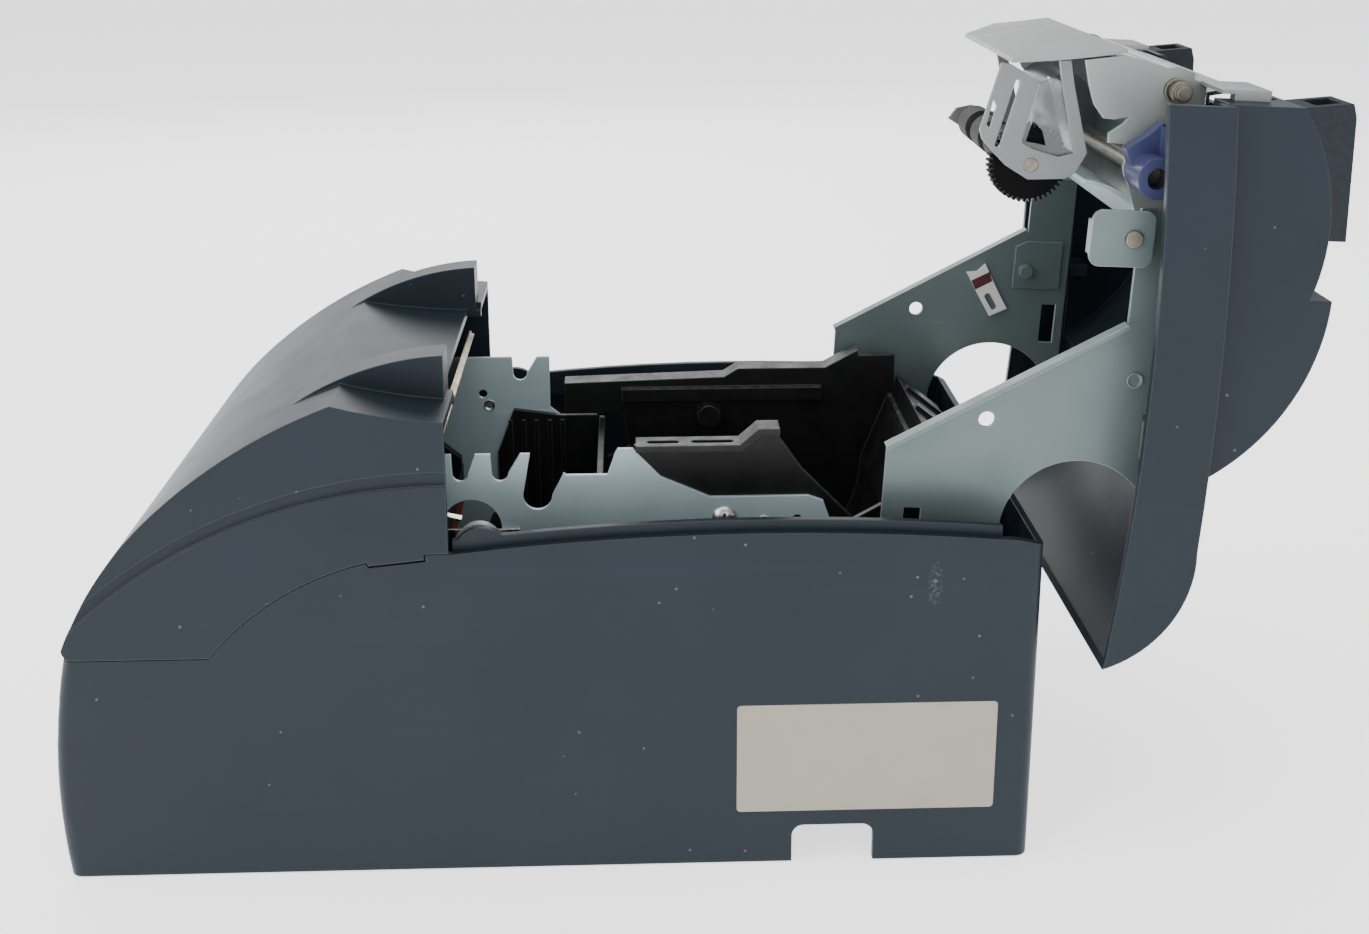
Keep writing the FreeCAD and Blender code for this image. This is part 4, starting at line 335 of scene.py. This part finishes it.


# The edge gain and edge colour of each look paint highlights along its sharp edges.
PLATED = dict(rough=0.40, metal=0.2, tone=0.07, patch=30.0, edge_highlight_gain=2.4, bump=0.04, scratches=0.08)
PAINTED = dict(rough=0.36, metal=0.25, tone=0.06, patch=40.0, edge_highlight_gain=1.8, scratches=0.10)
LOOKS = {
    "case_plastic": dict(colour=(0.0128, 0.0188, 0.0265), rough=0.40, tone=0.05, patch=22.0, edge_highlight_gain=1.5,
                         edge_highlight_colour=(0.11, 0.13, 0.15), edge_width=0.0006, bump=0.10, bump_scale=2600.0,
                         scratches=0.05, specular=0.17, rough_spread=0.03, worn=True),
    "black_plastic": dict(colour=(0.0045, 0.0045, 0.005), rough=0.46, tone=0.25, patch=60.0, edge_highlight_gain=2.0,
                          edge_highlight_colour=(0.10, 0.105, 0.11), edge_width=0.0006, bump=0.12, dust=0.28,
                          dust_colour=(0.20, 0.20, 0.20), dust_above=RIM_Z, specular=0.3),
    "grip_plastic": dict(colour=(0.0085, 0.0125, 0.0175), rough=0.62, tone=0.25, patch=900.0, bump=0.9,
                         bump_scale=1500.0, edge_highlight_gain=0.8, edge_highlight_colour=(0.08, 0.09, 0.10), specular=0.25),
    "zinc_sheet": dict(PLATED, colour=(0.375, 0.485, 0.515), edge_highlight_colour=(0.80, 0.84, 0.84)),
    # Painted shade: a darker copy of the zinc sheet for the cover arms, latch brackets, arm patch and arm
    # stud.
    "shaded_zinc_sheet": dict(PLATED, colour=(0.112, 0.150, 0.151), edge_highlight_colour=(0.66, 0.72, 0.72)),
    "bright_steel": dict(colour=(0.62, 0.60, 0.55), rough=0.26, metal=1.0, tone=0.14, patch=140.0,
                         stretch=(0.1, 1, 1)),
    "dull_steel": dict(colour=(0.20, 0.185, 0.15), rough=0.38, metal=0.85, tone=0.25, patch=400.0,
                       edge_highlight_gain=1.5, edge_highlight_colour=(0.50, 0.47, 0.40)),
    "screw_zinc": dict(colour=(0.62, 0.62, 0.56), rough=0.30, metal=1.0, tone=0.12, patch=500.0),
    "grey_paint": dict(PAINTED, colour=(0.26, 0.285, 0.278), edge_highlight_colour=(0.72, 0.75, 0.75)),
    "dull_paint": dict(PAINTED, colour=(0.17, 0.18, 0.18), edge_highlight_colour=(0.60, 0.62, 0.62)),
    "blade_steel": dict(colour=(0.40, 0.33, 0.25), rough=0.36, metal=0.8, tone=0.45, patch=120.0,
                        edge_highlight_gain=2.0, edge_highlight_colour=(0.80, 0.74, 0.62), bump=0.2, bump_scale=500.0),
    "blue_lever": dict(colour=(0.040, 0.048, 0.125), rough=0.36, tone=0.08, edge_highlight_gain=1.2,
                       edge_highlight_colour=(0.08, 0.09, 0.22)),
    "gear_plastic": dict(colour=(0.003, 0.003, 0.0035), rough=0.50, tone=0.2, patch=200.0, edge_highlight_gain=0.25,
                         edge_highlight_colour=(0.03, 0.03, 0.032), specular=0.05),
    "light_plastic": dict(colour=(0.42, 0.44, 0.45), rough=0.45, tone=0.06, dust=0.2),
    "white_plastic": dict(colour=(0.76, 0.75, 0.72), rough=0.42, tone=0.05, patch=200.0),
    "rubber_black": dict(colour=(0.016, 0.016, 0.016), rough=0.75, tone=0.3, patch=300.0, bump=0.4),
    "belt_rubber": dict(colour=(0.018, 0.016, 0.016), rough=0.70, tone=0.3, patch=300.0, bump=0.3),
    "motor_metal": dict(colour=(0.14, 0.145, 0.15), rough=0.35, metal=0.7, tone=0.12, stretch=(0.2, 1, 1)),
    "head_metal": dict(colour=(0.18, 0.185, 0.19), rough=0.45, metal=0.8, tone=0.2, bump=0.3),
    "board_green": dict(colour=(0.012, 0.085, 0.035), rough=0.35, tone=0.2, patch=160.0),
    "lens_plastic": dict(colour=(0.06, 0.30, 0.10), rough=0.18, patch=300.0),
    "button_plastic": dict(colour=(0.22, 0.24, 0.26), rough=0.38, tone=0.06, edge_highlight_gain=1.2),
    "label_film": dict(colour=(0.30, 0.277, 0.218), rough=0.45, tone=0.03, patch=60.0, bump=0.03,
                       scratches=0.05),
    "band_tape": dict(colour=(0.085, 0.008, 0.016), rough=0.45, tone=0.2, patch=300.0),
}
FINISHES = {name: finish(name, **look) for name, look in LOOKS.items()}
FINISHES["clear_plastic"] = clear_finish("clear_plastic")
FINISHES["ribbon_fabric"] = ribbon_finish("ribbon_fabric")

# Nodes that the photo shows duller than the rest of their slot.
DULLER_AND_SHADED = {
    # Painted shade: the cover arms, latch brackets and arm patch get the darker copy of the zinc sheet.
    "shaded_zinc_sheet": ("cover_arm_right", "cover_arm_left", "latch_brackets", "arm_patch"),
    "dull_steel": ("latch_pins", "lock_shaft", "drive_shaft", "feed_shaft"),
    "dull_paint": ("end_plates",),
}


def dress_solids():
    """Give every solid the finish of its slot in the record, or the duller one; on the cover arms, latch
    brackets and arm patch that is a darker copy of the zinc sheet, painted shade.
    """
    chosen = {part["node"]: part["material_slot"] for part in frame["record"]["subparts"]}
    for dull, names in DULLER_AND_SHADED.items():
        chosen.update(dict.fromkeys(names, dull))
    for name, solid in frame["nodes"].items():
        for holder in solid.material_slots:
            holder.material = FINISHES[chosen[name]]


# Trim

def rounded(lows, highs, corner):
    """Outline of a rectangle with round corners."""
    outline = []
    centres = ((highs[0] - corner, highs[1] - corner, 0), (lows[0] + corner, highs[1] - corner, 90),
               (lows[0] + corner, lows[1] + corner, 180), (highs[0] - corner, lows[1] + corner, 270))
    for y, z, first in centres:
        for step in range(CORNER_STEPS + 1):
            angle = math.radians(first + 90.0 * step / CORNER_STEPS)
            outline.append((y + corner * math.cos(angle), z + corner * math.sin(angle)))
    return outline


def trim_plate(name, outline, face, rise, dish=0.0):
    """Thin plate on a +X face, rooted a little below it; dish sinks the middle of its front."""
    mesh = bpy.data.meshes.new(name)
    form = bmesh.new()
    back = form.faces.new([form.verts.new((face - TRIM_ROOT, y, z)) for y, z in outline])
    pushed = bmesh.ops.extrude_face_region(form, geom=[back])
    moved = [item for item in pushed["geom"] if isinstance(item, bmesh.types.BMVert)]
    bmesh.ops.translate(form, verts=moved, vec=(TRIM_ROOT + rise, 0, 0))
    bmesh.ops.recalc_face_normals(form, faces=form.faces)
    if dish:
        front = max(form.faces, key=lambda item: item.calc_center_median().x)
        bmesh.ops.inset_region(form, faces=[front], thickness=dish, depth=-dish / 2)
    form.to_mesh(mesh)
    form.free()
    made = bpy.data.objects.new(name, mesh)
    bpy.context.collection.objects.link(made)
    return made


def side_label():
    """Bare rating plate on the flank, with nothing printed on it."""
    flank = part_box("lower_case")[1][0]
    outline = rounded((LABEL_FRONT_Y, LABEL_LOW_Z), (LABEL_REAR_Y, LABEL_HIGH_Z), LABEL_CORNER)
    plate = trim_plate("side_label", outline, flank, LABEL_RISE)
    plate.data.materials.append(FINISHES["label_film"])
    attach(plate, "base")


def clip_band():
    """Dark red tape across the white clip on the far arm."""
    plate = trim_plate("clip_band", CLIP_BAND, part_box("arm_clip")[1][0], BAND_RISE)
    plate.data.materials.append(FINISHES["band_tape"])
    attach(plate, "roll_cover")


def stud_head(name, face, place, radius):
    """Low dished screw head; its outline stops just short of a circle, so no two points meet."""
    lows = [middle - radius for middle in place]
    highs = [middle + radius for middle in place]
    outline = rounded(lows, highs, STUD_ROUND * radius)
    return trim_plate(name, outline, face, STUD_RISE, STUD_DISH * radius)


def studs():
    """Small fastener heads on the near arm, beside the shell, and on the far frame plate."""
    arm_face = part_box("cover_arm_right")[0][0] + ARM_SHEET
    head = stud_head("arm_stud", arm_face, ARM_STUD_AT, ARM_STUD_R)
    # Painted shade: the arm stud takes the darker copy of the zinc sheet.
    head.data.materials.append(FINISHES["shaded_zinc_sheet"])
    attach(head, "roll_cover")
    plate_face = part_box("side_plate_left")[1][0]
    head = stud_head("plate_stud", plate_face, PLATE_STUD_AT, PLATE_STUD_R)
    head.data.materials.append(FINISHES["screw_zinc"])
    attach(head, "base")


# Stage

def add_floor():
    """Pale floor that glows, so that the part's shadow on it stays soft."""
    bpy.ops.mesh.primitive_plane_add(size=FLOOR_SIZE, location=(0, 0, FLOOR_Z))
    floor = bpy.context.object
    floor.name = "floor"
    made, tree, shader = new_material("floor")
    tone = ramp(tree, noise(tree, 3.0), [(0.3, grey(0.93)), (0.7, grey(0.95))])
    tree.links.new(tone, shader.inputs["Base Color"])
    shader.inputs["Roughness"].default_value = 0.8
    shader.inputs["Emission Color"].default_value = (1.0, 1.0, 1.0, 1.0)
    shader.inputs["Emission Strength"].default_value = FLOOR_GLOW
    floor.data.materials.append(made)


def add_world():
    """Pale room, about as bright at the horizon as the floor and softer overhead."""
    world = bpy.data.worlds.new("studio")
    world.use_nodes = True
    tree = world.node_tree
    room = tree.nodes["Background"]
    room.inputs["Color"].default_value = ROOM_COLOUR
    place = add(tree, "ShaderNodeTexCoord")
    split = add(tree, "ShaderNodeSeparateXYZ")
    fall = add(tree, "ShaderNodeMapRange")
    fall.inputs["From Max"].default_value = OVERHEAD_FROM
    fall.inputs["To Min"].default_value = HORIZON_GLOW
    fall.inputs["To Max"].default_value = OVERHEAD_GLOW
    tree.links.new(place.outputs["Generated"], split.inputs["Vector"])
    tree.links.new(split.outputs["Z"], fall.inputs["Value"])
    tree.links.new(fall.outputs["Result"], room.inputs["Strength"])
    bpy.context.scene.world = world


def add_lights():
    """Soft rectangular lamps, all aimed at the middle of the part."""
    for name, place, size, watts in LIGHTS:
        data = bpy.data.lights.new(name, "AREA")
        data.shape = "RECTANGLE"
        data.size, data.size_y = size
        data.energy = watts
        lamp = bpy.data.objects.new(name, data)
        lamp.location = place
        lamp.rotation_euler = (Vector(LIGHT_AIM) - Vector(place)).to_track_quat("-Z", "Y").to_euler()
        bpy.context.collection.objects.link(lamp)


def add_camera():
    """Camera on the +X side, looking back along X and down on the part."""
    data = bpy.data.cameras.new("camera")
    data.sensor_width = CAMERA_SENSOR
    data.lens = CAMERA_LENS
    data.shift_y = CAMERA_SHIFT_Y
    data.clip_start = CAMERA_NEAR
    camera = bpy.data.objects.new("camera", data)
    turn = Matrix.Rotation(math.radians(90.0 + CAMERA_YAW), 4, "Z")
    tip = Matrix.Rotation(math.radians(90.0 - CAMERA_TILT), 4, "X")
    roll = Matrix.Rotation(math.radians(CAMERA_ROLL), 4, "Z")
    camera.matrix_world = Matrix.Translation(Vector(CAMERA_AT)) @ turn @ tip @ roll
    bpy.context.collection.objects.link(camera)
    bpy.context.scene.camera = camera


dress_solids()
side_label()
clip_band()
studs()
add_floor()
add_world()
add_lights()
add_camera()
